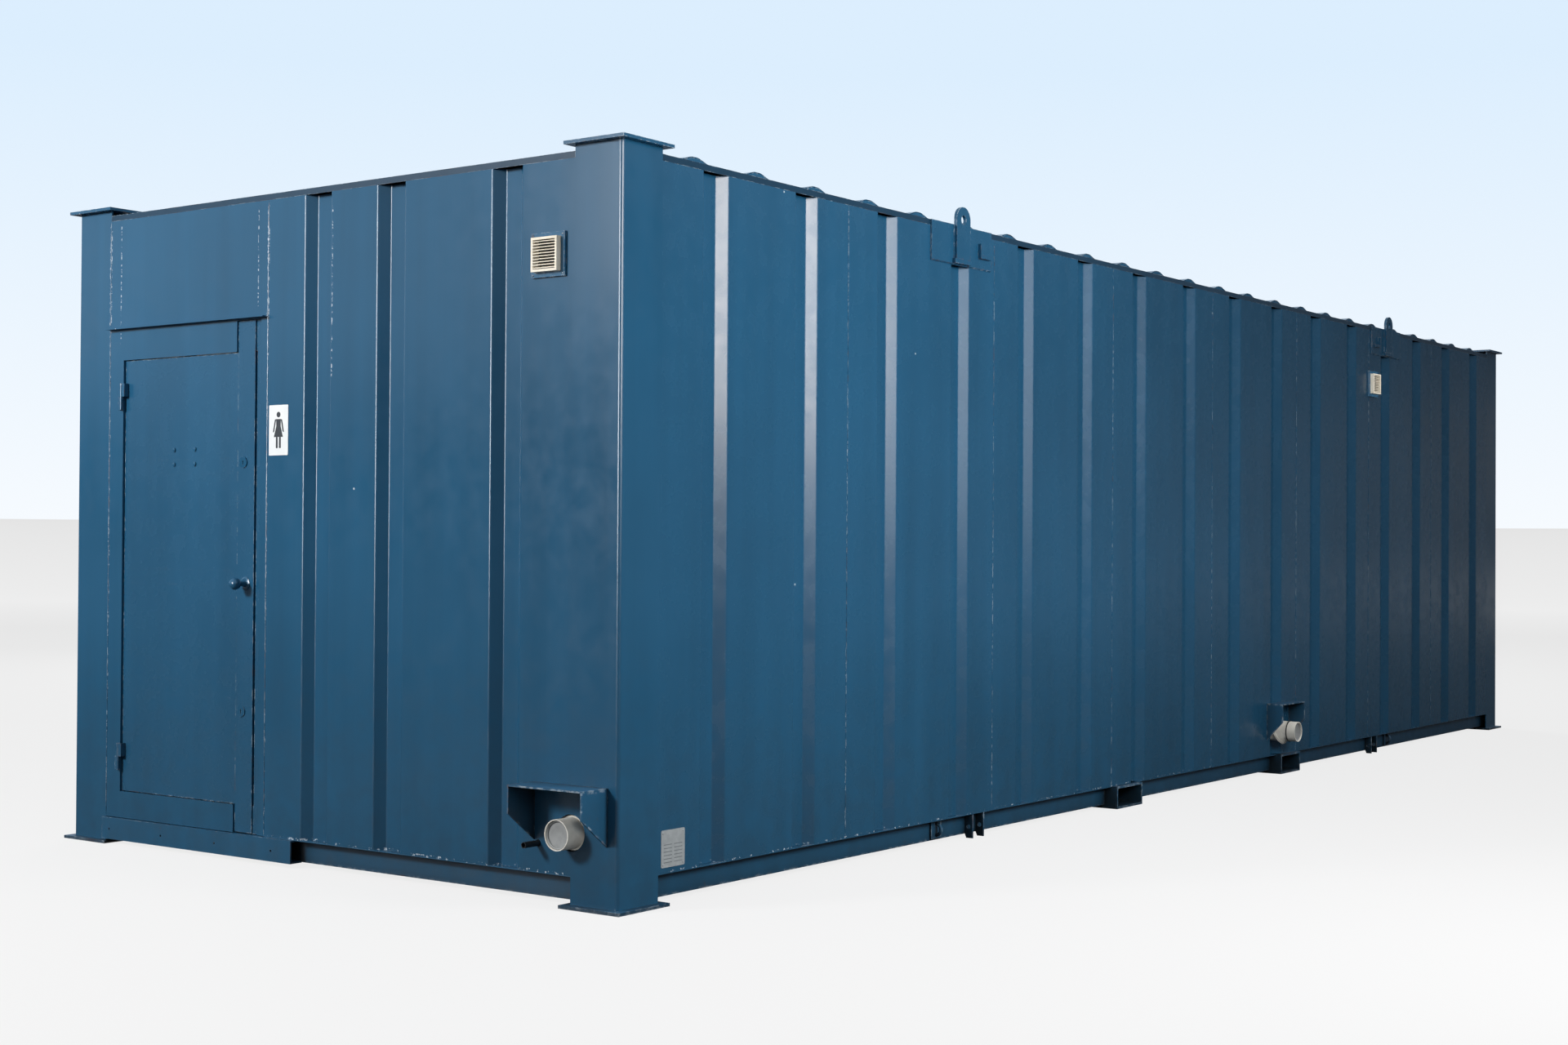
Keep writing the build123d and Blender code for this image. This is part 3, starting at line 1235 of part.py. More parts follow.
def wc_seat():
    """Ring seat with two hinge knuckles."""
    foot = RIM + SEAT_GAP
    ring = oval(SEAT_HALF_WIDTH, SEAT_HALF_LENGTH, PAN_Y, foot)
    ring -= oval(SEAT_HALF_WIDTH - SEAT_RING, SEAT_HALF_LENGTH - SEAT_RING, PAN_Y, foot)
    seat = extrude(ring, SEAT_THICK)
    half = SEAT_KNUCKLE_WIDTH / 2
    for side in (-1, 1):
        x = side * SEAT_KNUCKLE_X
        seat += rod_x(x - half, x + half, SEAT_AXIS_Y, SEAT_AXIS_Z, SEAT_KNUCKLE)
        arm = PAN_Y - SEAT_HALF_LENGTH + SEAT_RING
        seat += block(x - half, x + half, SEAT_AXIS_Y, arm, SEAT_AXIS_Z - SEAT_KNUCKLE, foot + SEAT_THICK)
        seat -= rod_x(x - half, x + half, SEAT_AXIS_Y, SEAT_AXIS_Z, SEAT_PIN + PIN_CLEARANCE)
    return seat


def wc_cistern():
    """Low-level cistern, hollow, with its lid as a separate solid."""
    half = CISTERN_WIDTH / 2
    top = BOXING_TOP + CISTERN_HEIGHT
    wall = CISTERN_WALL
    tank = block(-half, half, -WALL, CISTERN_FACE, BOXING_TOP, top)
    tank = fillet(tank.edges().filter_by(Axis.Z).group_by(Axis.Y)[-1], CISTERN_CORNER)
    tank -= block(-half + wall, half - wall, -WALL + wall, CISTERN_FACE - wall, BOXING_TOP + wall, top)
    tank -= rod_y(-LEVER_X, CISTERN_FACE - wall, CISTERN_FACE, LEVER_Z, SPINDLE + PIN_CLEARANCE)
    lid = block(-half - LID_LAP, half + LID_LAP, -WALL, CISTERN_FACE + LID_LAP, top, top + LID_HEIGHT)
    lid = fillet(lid.edges().filter_by(Axis.Z).group_by(Axis.Y)[-1], CISTERN_CORNER)
    return tank, lid


def flush_lever():
    """Lever on a spindle through the front of the cistern."""
    face = CISTERN_FACE + LEVER_GAP
    lever = rod_y(-LEVER_X, face, face + LEVER_THICK, LEVER_Z, LEVER_BOSS)
    half = LEVER_THICK / 2
    tip = -LEVER_X + LEVER_LENGTH
    lever += block(-LEVER_X, tip, face, face + LEVER_THICK, LEVER_Z - half, LEVER_Z + half)
    lever += rod_y(tip, face, face + LEVER_THICK, LEVER_Z, LEVER_TIP)
    return lever + rod_y(-LEVER_X, CISTERN_FACE - CISTERN_WALL - SPINDLE_TAIL, face, LEVER_Z, SPINDLE)


def wash_trough():
    """Folded steel trough with an upstand, gusset brackets and a waste."""
    half = TROUGH_LENGTH / 2
    front = -WALL + TROUGH_DEPTH
    foot = TROUGH_TOP - TROUGH_HEIGHT
    wall = TROUGH_WALL
    trough = block(-half, half, -WALL, front, foot, TROUGH_TOP)
    trough -= block(
        -half + wall, half - wall, -WALL + UPSTAND_THICK, front - wall, foot + wall, TROUGH_TOP
    )
    trough += block(-half, half, -WALL, -WALL + UPSTAND_THICK, TROUGH_TOP, TROUGH_TOP + UPSTAND)
    bracket = [(-WALL, foot), (-WALL + BRACKET_REACH, foot), (-WALL, foot - BRACKET_DROP)]
    pitch = (TROUGH_LENGTH - 2 * BRACKET_REACH) / (TROUGH_BRACKETS - 1)
    for i in range(TROUGH_BRACKETS):
        x = -half + BRACKET_REACH + i * pitch
        trough += prism_x(bracket, x - BRACKET_THICK / 2, x + BRACKET_THICK / 2)
    waste = half / 2
    trough += rod_z(waste, (-WALL + BOXING_FACE) / 2, BOXING_TOP, foot + wall, WASTE_RADIUS)
    return [trough]


def tap_spouts():
    """Sensor spouts on the upstand."""
    root = -WALL + UPSTAND_THICK
    z = TROUGH_TOP + UPSTAND / 2
    spouts = []
    for i in range(TAPS):
        x = (i - (TAPS - 1) / 2) * TAP_PITCH
        spout = rod_y(x, root, root + TAP_REACH, z, TAP_RADIUS)
        spout += rod_z(x, root + TAP_REACH - TAP_RADIUS, z - TAP_NOZZLE_DROP, z, TAP_NOZZLE)
        spouts.append(spout)
    return spouts


def ceiling_lights():
    lights = []
    for i in range(LIGHTS):
        x = (i - (LIGHTS - 1) / 2) * LIGHT_PITCH
        half, wide = LIGHT_LENGTH / 2, LIGHT_WIDTH / 2
        foot = CEILING_FOOT - LIGHT_HEIGHT
        light = block(x - half, x + half, LIGHT_Y - wide, LIGHT_Y + wide, foot, CEILING_FOOT)
        lights.append(chamfer(light.edges().group_by(Axis.Z)[0], LIGHT_HEIGHT / 3))
    return lights


def save(name, solids):
    """Write one node, moved from the block's centre to the frame's origin."""
    placed = [Pos(FRAME_SHIFT_X, FRAME_SHIFT_Y, 0) * solid for solid in solids]
    export_step(placed[0] if len(placed) == 1 else Compound(children=placed), f"parts/{name}.step")


def main():
    os.makedirs("parts", exist_ok=True)
    makers = [
        foot_plates, corner_posts, top_plates, base_rails, floor_joists, fork_pockets, top_rails,
        roof_sheets, front_wall_sheets, rear_wall_sheets, end_wall_sheets, door_surround_plates,
        door_frame, door_drip_strip, threshold_channel, lifting_lugs, lug_spreader_plates,
        tie_down_brackets, vent_frames, vent_grilles, pipe_hoods, soil_pipes, water_pipe, timber_framing,
        floor_deck, wall_linings, ceiling_lining, pipe_boxing, cubicle_panels, cubicle_hardware,
        wash_trough, tap_spouts, ceiling_lights,
        door_leaf, door_inner_panel, door_hinge_pins, door_hinge_barrels, door_furniture, door_lock_cases,
    ]
    for maker in makers:
        save(maker.__name__, maker())
    save("lower_lock_bolt", [bolt_at(LOCK_HEIGHTS[0])])
    save("upper_lock_bolt", [bolt_at(LOCK_HEIGHTS[1])])
    pan, seat, lever = wc_pan(), wc_seat(), flush_lever()
    tank, lid = wc_cistern()
    middles = cubicle_middles()
    save("wc_pans", [Pos(x, 0, 0) * pan for x in middles])
    save("wc_cisterns", [Pos(x, 0, 0) * piece for x in middles for piece in (tank, lid)])
    for number, x in enumerate(middles, start=1):
        save(f"cubicle_door_{number}", [cubicle_door(x)])
        save(f"cubicle_bolt_{number}", [cubicle_bolt(x)])
        save(f"wc_seat_{number}", [Pos(x, 0, 0) * seat])
        save(f"flush_lever_{number}", [Pos(x, 0, 0) * lever])


main()
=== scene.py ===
"""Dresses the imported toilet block: paint, plastics, boards, china, weld beads, sign, plates and screws."""
from __future__ import annotations

import json
import logging
from dataclasses import dataclass, field
from enum import Enum
from typing import Any

import bmesh
import bpy
import numpy as np
from mathutils import Matrix, Vector


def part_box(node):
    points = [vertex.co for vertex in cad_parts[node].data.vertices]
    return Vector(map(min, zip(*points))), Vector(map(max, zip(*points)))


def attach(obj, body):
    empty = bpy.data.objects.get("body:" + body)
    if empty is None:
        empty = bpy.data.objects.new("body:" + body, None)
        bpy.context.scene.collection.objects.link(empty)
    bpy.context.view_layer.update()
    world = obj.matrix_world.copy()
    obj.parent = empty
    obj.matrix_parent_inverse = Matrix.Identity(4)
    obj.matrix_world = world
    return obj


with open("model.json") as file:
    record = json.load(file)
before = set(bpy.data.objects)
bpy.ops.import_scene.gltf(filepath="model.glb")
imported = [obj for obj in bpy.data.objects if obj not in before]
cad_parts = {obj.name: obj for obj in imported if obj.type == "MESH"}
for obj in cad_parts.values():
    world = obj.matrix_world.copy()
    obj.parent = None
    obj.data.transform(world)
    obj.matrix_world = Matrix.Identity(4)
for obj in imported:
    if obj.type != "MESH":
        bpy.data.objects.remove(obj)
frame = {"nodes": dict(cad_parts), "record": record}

LOG = logging.getLogger("toilet_block")
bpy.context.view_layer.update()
MM = 0.001
Tree = bpy.types.NodeTree
Socket = bpy.types.NodeSocket

# Outer faces and seams of the walls, from the frame
NEAR_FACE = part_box("end_wall_sheets")[0].x
FAR_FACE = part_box("end_wall_sheets")[1].x
FRONT_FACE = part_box("front_wall_sheets")[0].y
REAR_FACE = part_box("rear_wall_sheets")[1].y
SHEET_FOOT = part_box("front_wall_sheets")[0].z
SHEET_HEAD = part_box("front_wall_sheets")[1].z
MIDDLE_X = (NEAR_FACE + FAR_FACE) / 2
DOOR_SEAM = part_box("door_surround_plates")[0].y
POST_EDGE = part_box("door_surround_plates")[1].y

# Butt seams of the sheets of a long side
SEAM_PITCH = 1.14
SEAM_COUNT = 7

# Angle in radians past which an edge stays sharp
SHARP_EDGE = 0.6


class Axis(Enum):
    """Direction of the part's frame."""

    X = 0
    Y = 1
    Z = 2

    @property
    def unit(self) -> np.ndarray:
        """Unit vector along the axis."""
        return np.eye(3)[self.value]


class Body(str, Enum):
    """Moving bodies that new pieces ride on."""

    BLOCK = "block"
    DOOR = "entrance_door"


class Shine(Enum):
    """What a lamp does: whether it lights surfaces, and whether it shows in their gloss."""

    LIGHT = (True, False)
    GLOSS = (False, True)
    BOTH = (True, True)


def hex_linear(code: str) -> tuple[float, float, float, float]:
    """Turns an sRGB hex colour into linear red, green, blue and alpha.

    Args:
        code: Colour such as "#2b5a7a".

    Returns:
        Linear channels with an alpha of one.
    """
    channels = np.array([int(code[i:i + 2], 16) for i in (1, 3, 5)]) / 255
    linear = np.where(channels <= 0.04045, channels / 12.92, ((channels + 0.055) / 1.055) ** 2.4)
    return (*linear.tolist(), 1.0)


def per_metre(size_mm: float) -> float:
    """Scale, on coordinates in metres, of a pattern whose marks have a size in millimetres."""
    return 1000 / size_mm


def add_node(tree: Tree, kind: str, inputs: dict[Any, Any] | None = None, **settings: Any) -> Any:
    """Adds a node with its settings, and sets or links its inputs.

    Args:
        tree: Tree that takes the node.
        kind: Blender's name of the node type.
        inputs: Socket name or index to a value, or to what is linked in: a socket, or a node's first output.
        **settings: Properties of the node.

    Returns:
        The new node.
    """
    node = tree.nodes.new(kind)
    for name, value in settings.items():
        setattr(node, name, value)
    for key, value in (inputs or {}).items():
        source = value.outputs[0] if isinstance(value, bpy.types.Node) else value
        if isinstance(source, Socket):
            tree.links.new(source, node.inputs[key])
        else:
            node.inputs[key].default_value = source
    return node


def add_seen(tree: Tree) -> Socket:
    """Tells where a surface is seen, by the camera, in gloss or through glass, and doesn't only give light.

    Args:
        tree: Tree that takes the nodes.

    Returns:
        One where it is seen, else nought.
    """
    path = add_node(tree, "ShaderNodeLightPath").outputs
    seen = path["Is Camera Ray"]
    for ray in ("Is Glossy Ray", "Is Transmission Ray"):
        seen = add_node(tree, "ShaderNodeMath", {0: seen, 1: path[ray]}, operation="MAXIMUM").outputs[0]
    return seen


@dataclass(frozen=True)
class Finish:
    """Common part of every finish: a name, how the blank material starts and how painted shade darkens its
    recesses.
    """

    name: str

    def blank(self) -> tuple[bpy.types.Material, Tree, Socket]:
        """Makes an empty material.

        Returns:
            The material, its tree and the Object coordinates in metres.
        """
        material = bpy.data.materials.new(self.name)
        material.use_nodes = True
        tree = material.node_tree
        tree.nodes.clear()
        return material, tree, add_node(tree, "ShaderNodeTexCoord").outputs["Object"]

    def close(self, tree: Tree, shader: Any) -> None:
        """Links a shader to the material's output."""
        add_node(tree, "ShaderNodeOutputMaterial", {"Surface": shader})

    def add_recess_shade(self, tree: Tree, colour: Socket, reach_mm: float, darkening: str) -> Socket:
        """Paints shade into recesses narrower than a reach: the less open sky above the surface, the darker.

        Args:
            tree: Tree that takes the nodes.
            colour: Colour so far.
            reach_mm: Size of the recesses.
            darkening: Colour of the painted shade.

        Returns:
            The colour with painted shade.
        """
        # Painted shade: darker where the ambient occlusion finds little open sky
        sky = add_node(tree, "ShaderNodeAmbientOcclusion", {"Distance": reach_mm * MM}, samples=6)
        unshaded = add_node(tree, "ShaderNodeMapRange", {
            "Value": sky.outputs["AO"], "From Min": 0.35, "From Max": 0.75,
        })
        return add_node(tree, "ShaderNodeMix", {
            0: unshaded, 6: hex_linear(darkening), 7: colour,
        }, data_type="RGBA").outputs[2]


@dataclass(frozen=True)
class Marks:
    """Noise for one kind of mark: its size along each axis in millimetres, octaves and roughness."""

    size_mm: tuple[float, float, float]
    octaves: float
    roughness: float = 0.5


# Marks in the paint. Brush texture is finer than a centimetre, and is drawn coarser so that it shows
PAINT_MARKS = {
    "cloud": Marks((769.0,) * 3, 4.0),
    "streak": Marks((111.0, 111.0, 2000.0), 5.0),
    "dust": Marks((71.4,) * 3, 6.0),
    "bloom": Marks((45.5,) * 3, 8.0, 0.7),
    "scuff": Marks((26.3,) * 3, 6.0, 0.7),
    "patch": Marks((143.0,) * 3, 2.0),
    "flake": Marks((18.18,) * 3, 4.0, 0.7),
    "dent": Marks((385.0, 385.0, 909.0), 2.0),
    "brush": Marks((14.3,) * 3, 3.0),
}


@dataclass(frozen=True)
class Flaking:
    """A straight line on an outer face where the paint has cracked and flaked.

    The line lies at one place across the face and runs between two places along it. The face is the
    outermost on its side: nothing past the limit on the facing axis is touched. The share says how much
    has flaked.
    """

    across: Axis
    at: float
    half_width: float
    along: Axis
    low: float
    high: float
    facing: Axis
    limit: float
    share: float


@dataclass(frozen=True)
class SatinPaint(Finish):
    """Alkyd paint brushed and rolled on folded steel.

    The eye gets a satin sheen that waves with the sheet, rain streaks, patches darker towards the ground,
    chips and some rust.
    Rust is a share; edges are scuffed, and recesses are darkened with painted shade, up to the sizes given,
    where these aren't nought.
    """

    colour: str = "#1f5373"
    roughness: float = 0.26
    flaking: tuple[Flaking, ...] = ()
    rust: float = 0.0
    edge_mm: float = 0.0
    recess_shade_mm: float = 0.0
    low_patch_tone: str = "#24343c"
    bloom_tone: str = "#4f3626"
    primer_tone: str = "#b4c1ca"
    bare_tone: str = "#63432f"
    chip_tone: str = "#aebbc6"
    recess_shade_tone: str = "#10161a"
    chip_pitch_mm: float = 417.0
    chip_share: float = 0.011
    dent_depth_mm: float = 1.6
    brush_depth_mm: float = 0.1

    def build(self) -> bpy.types.Material:
        """Makes the paint.

        Returns:
            The material, whose patterns are in the part's frame.
        """
        material, tree, at = self.blank()
        marks = {}
        for name, mark in PAINT_MARKS.items():
            sized = add_node(tree, "ShaderNodeMapping", {
                "Vector": at, "Scale": [per_metre(size) for size in mark.size_mm],
            })
            marks[name] = add_node(tree, "ShaderNodeTexNoise", {
                "Vector": sized, "Scale": 1.0, "Detail": mark.octaves, "Roughness": mark.roughness,
            }).outputs[0]
        colour = self.add_tone(tree, marks, at)
        if self.rust:
            colour = self.add_rust(tree, marks, colour)
        colour = self.add_chips(tree, marks, at, colour)
        if self.edge_mm:
            colour = self.add_edge_wear(tree, marks, colour)
        # Painted shade in recesses, where a size is given
        if self.recess_shade_mm:
            colour = self.add_recess_shade(tree, colour, self.recess_shade_mm, self.recess_shade_tone)
        dents = add_node(tree, "ShaderNodeBump", {
            "Height": marks["dent"], "Strength": 1.0, "Distance": self.dent_depth_mm * MM,
        })
        brushed = add_node(tree, "ShaderNodeBump", {
            "Height": marks["brush"], "Strength": 0.3, "Distance": self.brush_depth_mm * MM, "Normal": dents,
        })
        sheen = add_node(tree, "ShaderNodeMapRange", {
            "Value": marks["dust"], "From Min": 0.3, "From Max": 0.7,
            "To Min": self.roughness - 0.04, "To Max": self.roughness + 0.05,
        })
        self.close(tree, add_node(tree, "ShaderNodeBsdfPrincipled", {
            "Base Color": colour, "Roughness": sheen, "Normal": brushed,
        }))
        return material

    def add_tone(self, tree: Tree, marks: dict[str, Socket], at: Socket) -> Socket:
        """Drifts the colour in clouds and rain streaks, and darkens it in patches towards the ground.

        Args:
            tree: Tree that takes the nodes.
            marks: Noise of each kind of mark.
            at: Object coordinates.

        Returns:
            The toned colour.
        """
        tone = add_node(tree, "ShaderNodeMath", {0: marks["cloud"], 1: marks["streak"]}, operation="ADD")
        level = add_node(tree, "ShaderNodeMapRange", {
            "Value": tone, "From Min": 0.7, "From Max": 1.3, "To Min": 0.88, "To Max": 1.1,
        })
        base = add_node(tree, "ShaderNodeMix", {
            0: 1.0, 6: hex_linear(self.colour), 7: level,
        }, data_type="RGBA", blend_type="MULTIPLY")
        place = add_node(tree, "ShaderNodeSeparateXYZ", {0: at})
        # Darker in patches towards the ground, fading out at 1.1 m
        low = add_node(tree, "ShaderNodeMapRange", {
            "Value": place.outputs[Axis.Z.value], "From Min": 0.1, "From Max": 1.1,
            "To Min": 0.55, "To Max": 0.0,
        })
        darkening = add_node(tree, "ShaderNodeMath", {0: marks["dust"], 1: low}, operation="MULTIPLY")
        return add_node(tree, "ShaderNodeMix", {
            0: darkening, 6: base.outputs[2], 7: hex_linear(self.low_patch_tone),
        }, data_type="RGBA").outputs[2]

    def add_rust(self, tree: Tree, marks: dict[str, Socket], colour: Socket) -> Socket:
        """Breaks the paint with rust blooms a few centimetres across.

        Args:
            tree: Tree that takes the nodes.
            marks: Noise of each kind of mark.
            colour: Colour so far.

        Returns:
            The rusted colour.
        """
        mask = add_node(tree, "ShaderNodeMapRange", {
            "Value": marks["bloom"], "From Min": 0.66 - 0.08 * self.rust, "From Max": 0.73, "To Max": 0.75,
        })
        return add_node(tree, "ShaderNodeMix", {
            0: mask, 6: colour, 7: hex_linear(self.bloom_tone),
        }, data_type="RGBA").outputs[2]

    def add_edge_wear(self, tree: Tree, marks: dict[str, Socket], colour: Socket) -> Socket:
        """Scuffs sharp edges to primer and rust, where a normal rounded over the edge leaves the face's own.

        Args:
            tree: Tree that takes the nodes.
            marks: Noise of each kind of mark.
            colour: Colour so far.

        Returns:
            The scuffed colour.
        """
        over = add_node(tree, "ShaderNodeBevel", {"Radius": self.edge_mm * MM}, samples=4)
        face = add_node(tree, "ShaderNodeNewGeometry").outputs["Normal"]
        level = add_node(tree, "ShaderNodeVectorMath", {0: over, 1: face}, operation="DOT_PRODUCT")
        edge = add_node(tree, "ShaderNodeMapRange", {
            "Value": level.outputs["Value"], "From Min": 0.97, "From Max": 0.8,
        })
        torn = add_node(tree, "ShaderNodeMapRange", {
            "Value": marks["scuff"], "From Min": 0.48, "From Max": 0.56, "To Max": 0.9,
        })
        mask = add_node(tree, "ShaderNodeMath", {0: edge, 1: torn}, operation="MULTIPLY")
        rusty = add_node(tree, "ShaderNodeMapRange", {
            "Value": marks["patch"], "From Min": 0.5, "From Max": 0.6,
        })
        bare = add_node(tree, "ShaderNodeMix", {
            0: rusty, 6: hex_linear(self.primer_tone), 7: hex_linear(self.bare_tone),
        }, data_type="RGBA")
        return add_node(tree, "ShaderNodeMix", {
            0: mask, 6: colour, 7: bare.outputs[2],
        }, data_type="RGBA").outputs[2]

    def add_chips(self, tree: Tree, marks: dict[str, Socket], at: Socket, colour: Socket) -> Socket:
        """Adds sparse pale specks, and dashes of flaked paint along the seams.

        Args:
            tree: Tree that takes the nodes.
            marks: Noise of each kind of mark.
            at: Object coordinates.
            colour: Colour so far.

        Returns:
            The chipped colour.
        """
        cells = add_node(tree, "ShaderNodeTexVoronoi", {
            "Vector": at, "Scale": per_metre(self.chip_pitch_mm),
        })
        chips = add_node(tree, "ShaderNodeMath", {0: cells, 1: self.chip_share}, operation="LESS_THAN")
        place = add_node(tree, "ShaderNodeSeparateXYZ", {0: at}).outputs
        for line in self.flaking:
            middle, half = (line.low + line.high) / 2, (line.high - line.low) / 2
            mask = 1.0
            for value, bound, reach, test in (
                (place[line.across.value], line.at, line.half_width, "COMPARE"),
                (place[line.along.value], middle, half, "COMPARE"),
                (place[line.facing.value], line.limit, 0.0, "LESS_THAN"),
                (marks["flake"], 0.62 - 0.17 * line.share, 0.0, "GREATER_THAN"),
            ):
                inside = add_node(tree, "ShaderNodeMath", {0: value, 1: bound, 2: reach}, operation=test)
                mask = add_node(tree, "ShaderNodeMath", {0: mask, 1: inside}, operation="MULTIPLY")
            chips = add_node(tree, "ShaderNodeMath", {0: chips, 1: mask}, operation="MAXIMUM")
        return add_node(tree, "ShaderNodeMix", {
            0: chips, 6: colour, 7: hex_linear(self.chip_tone),
        }, data_type="RGBA").outputs[2]


@dataclass(frozen=True)
class Mottled(Finish):
    """A moulded, glazed, rolled or sawn surface: one colour that drifts, with a fine relief.

    The drift's size in millimetres sets the pattern, stretched along one axis where the surface has a grain.
    Painted shade darkens recesses narrower than its own size, where that size is given.
    """

    colour: str
    second: str
    drift_mm: float
    grain: tuple[float, float, float] = (1.0, 1.0, 1.0)
    roughness: float = 0.5
    spread: float = 0.06
    metallic: float = 0.0
    coat: float = 0.0
    relief_mm: float = 0.1
    recess_shade_mm: float = 0.0
    recess_shade_tone: str = "#2a2622"

    def build(self) -> bpy.types.Material:
        """Makes the material.

        Returns:
            The material, whose drift is in the part's frame.
        """
        material, tree, at = self.blank()
        grain = add_node(tree, "ShaderNodeMapping", {"Vector": at, "Scale": self.grain})
        drift = add_node(tree, "ShaderNodeTexNoise", {
            "Vector": grain, "Scale": per_metre(self.drift_mm), "Detail": 5.0, "Roughness": 0.6,
        })
        mask = add_node(tree, "ShaderNodeMapRange", {"Value": drift, "From Min": 0.35, "From Max": 0.65})
        colour = add_node(tree, "ShaderNodeMix", {
            0: mask, 6: hex_linear(self.colour), 7: hex_linear(self.second),
        }, data_type="RGBA").outputs[2]
        # Painted shade in recesses, where a size is given
        if self.recess_shade_mm:
            colour = self.add_recess_shade(tree, colour, self.recess_shade_mm, self.recess_shade_tone)
        sheen = add_node(tree, "ShaderNodeMapRange", {
            "Value": drift, "From Min": 0.3, "From Max": 0.7,
            "To Min": max(self.roughness - self.spread, 0.02), "To Max": self.roughness + self.spread,
        })
        relief = add_node(tree, "ShaderNodeBump", {
            "Height": drift, "Strength": 0.6, "Distance": self.relief_mm * MM,
        })
        self.close(tree, add_node(tree, "ShaderNodeBsdfPrincipled", {
            "Base Color": colour, "Roughness": sheen, "Normal": relief,
            "Metallic": self.metallic, "Coat Weight": self.coat,
        }))
        return material


@dataclass(frozen=True)
class Speckled(Finish):
    """Sheet vinyl or galvanising: flat flakes of two tones."""

    colour: str
    second: str
    flake_mm: float
    roughness: float = 0.45
    spread: float = 0.08
    metallic: float = 0.0

    def build(self) -> bpy.types.Material:
        """Makes the material.

        Returns:
            The material, whose flakes are in the part's frame.
        """
        material, tree, at = self.blank()
        flakes = add_node(tree, "ShaderNodeTexVoronoi", {"Vector": at, "Scale": per_metre(self.flake_mm)})
        tone = add_node(tree, "ShaderNodeSeparateColor", {0: flakes.outputs["Color"]})
        colour = add_node(tree, "ShaderNodeMix", {
            0: tone, 6: hex_linear(self.colour), 7: hex_linear(self.second),
        }, data_type="RGBA")
        sheen = add_node(tree, "ShaderNodeMapRange", {
            "Value": tone.outputs[1],
            "To Min": self.roughness - self.spread, "To Max": self.roughness + self.spread,
        })
        self.close(tree, add_node(tree, "ShaderNodeBsdfPrincipled", {
            "Base Color": colour.outputs[2], "Roughness": sheen, "Metallic": self.metallic,
        }))
        return material


def turns(count: int) -> np.ndarray:
    """Angles once round, evenly spaced."""
    return np.linspace(0, 2 * np.pi, count, endpoint=False)


def spokes(angle: np.ndarray) -> np.ndarray:
    """Level unit vectors at the given angles: cosine along X, sine along Y."""
    return np.stack([np.cos(angle), np.sin(angle), np.zeros(len(angle))], axis=1)


def spaced(count: int, pitch: float) -> np.ndarray:
    """Places along the block, a pitch apart, evenly about its middle."""
    return MIDDLE_X + (np.arange(count) - (count - 1) / 2) * pitch


def rounded(width: float, height: float, radius: float, steps: int = 5) -> np.ndarray:
    """Outline of a rectangle with quarter-circle corners, centred on the origin.

    Args:
        width: Size along u.
        height: Size along v.
        radius: Corner radius.
        steps: Points in each corner.

    Returns:
        Array of (u, v) once round.
    """
    corner = np.repeat(np.arange(4), steps)
    turn = (corner + np.tile(np.linspace(0, 1, steps), 4)) * np.pi / 2
    centre_u = np.array([1, -1, -1, 1])[corner] * (width / 2 - radius)
    centre_v = np.array([1, 1, -1, -1])[corner] * (height / 2 - radius)
    return np.stack([centre_u + radius * np.cos(turn), centre_v + radius * np.sin(turn)], axis=1)


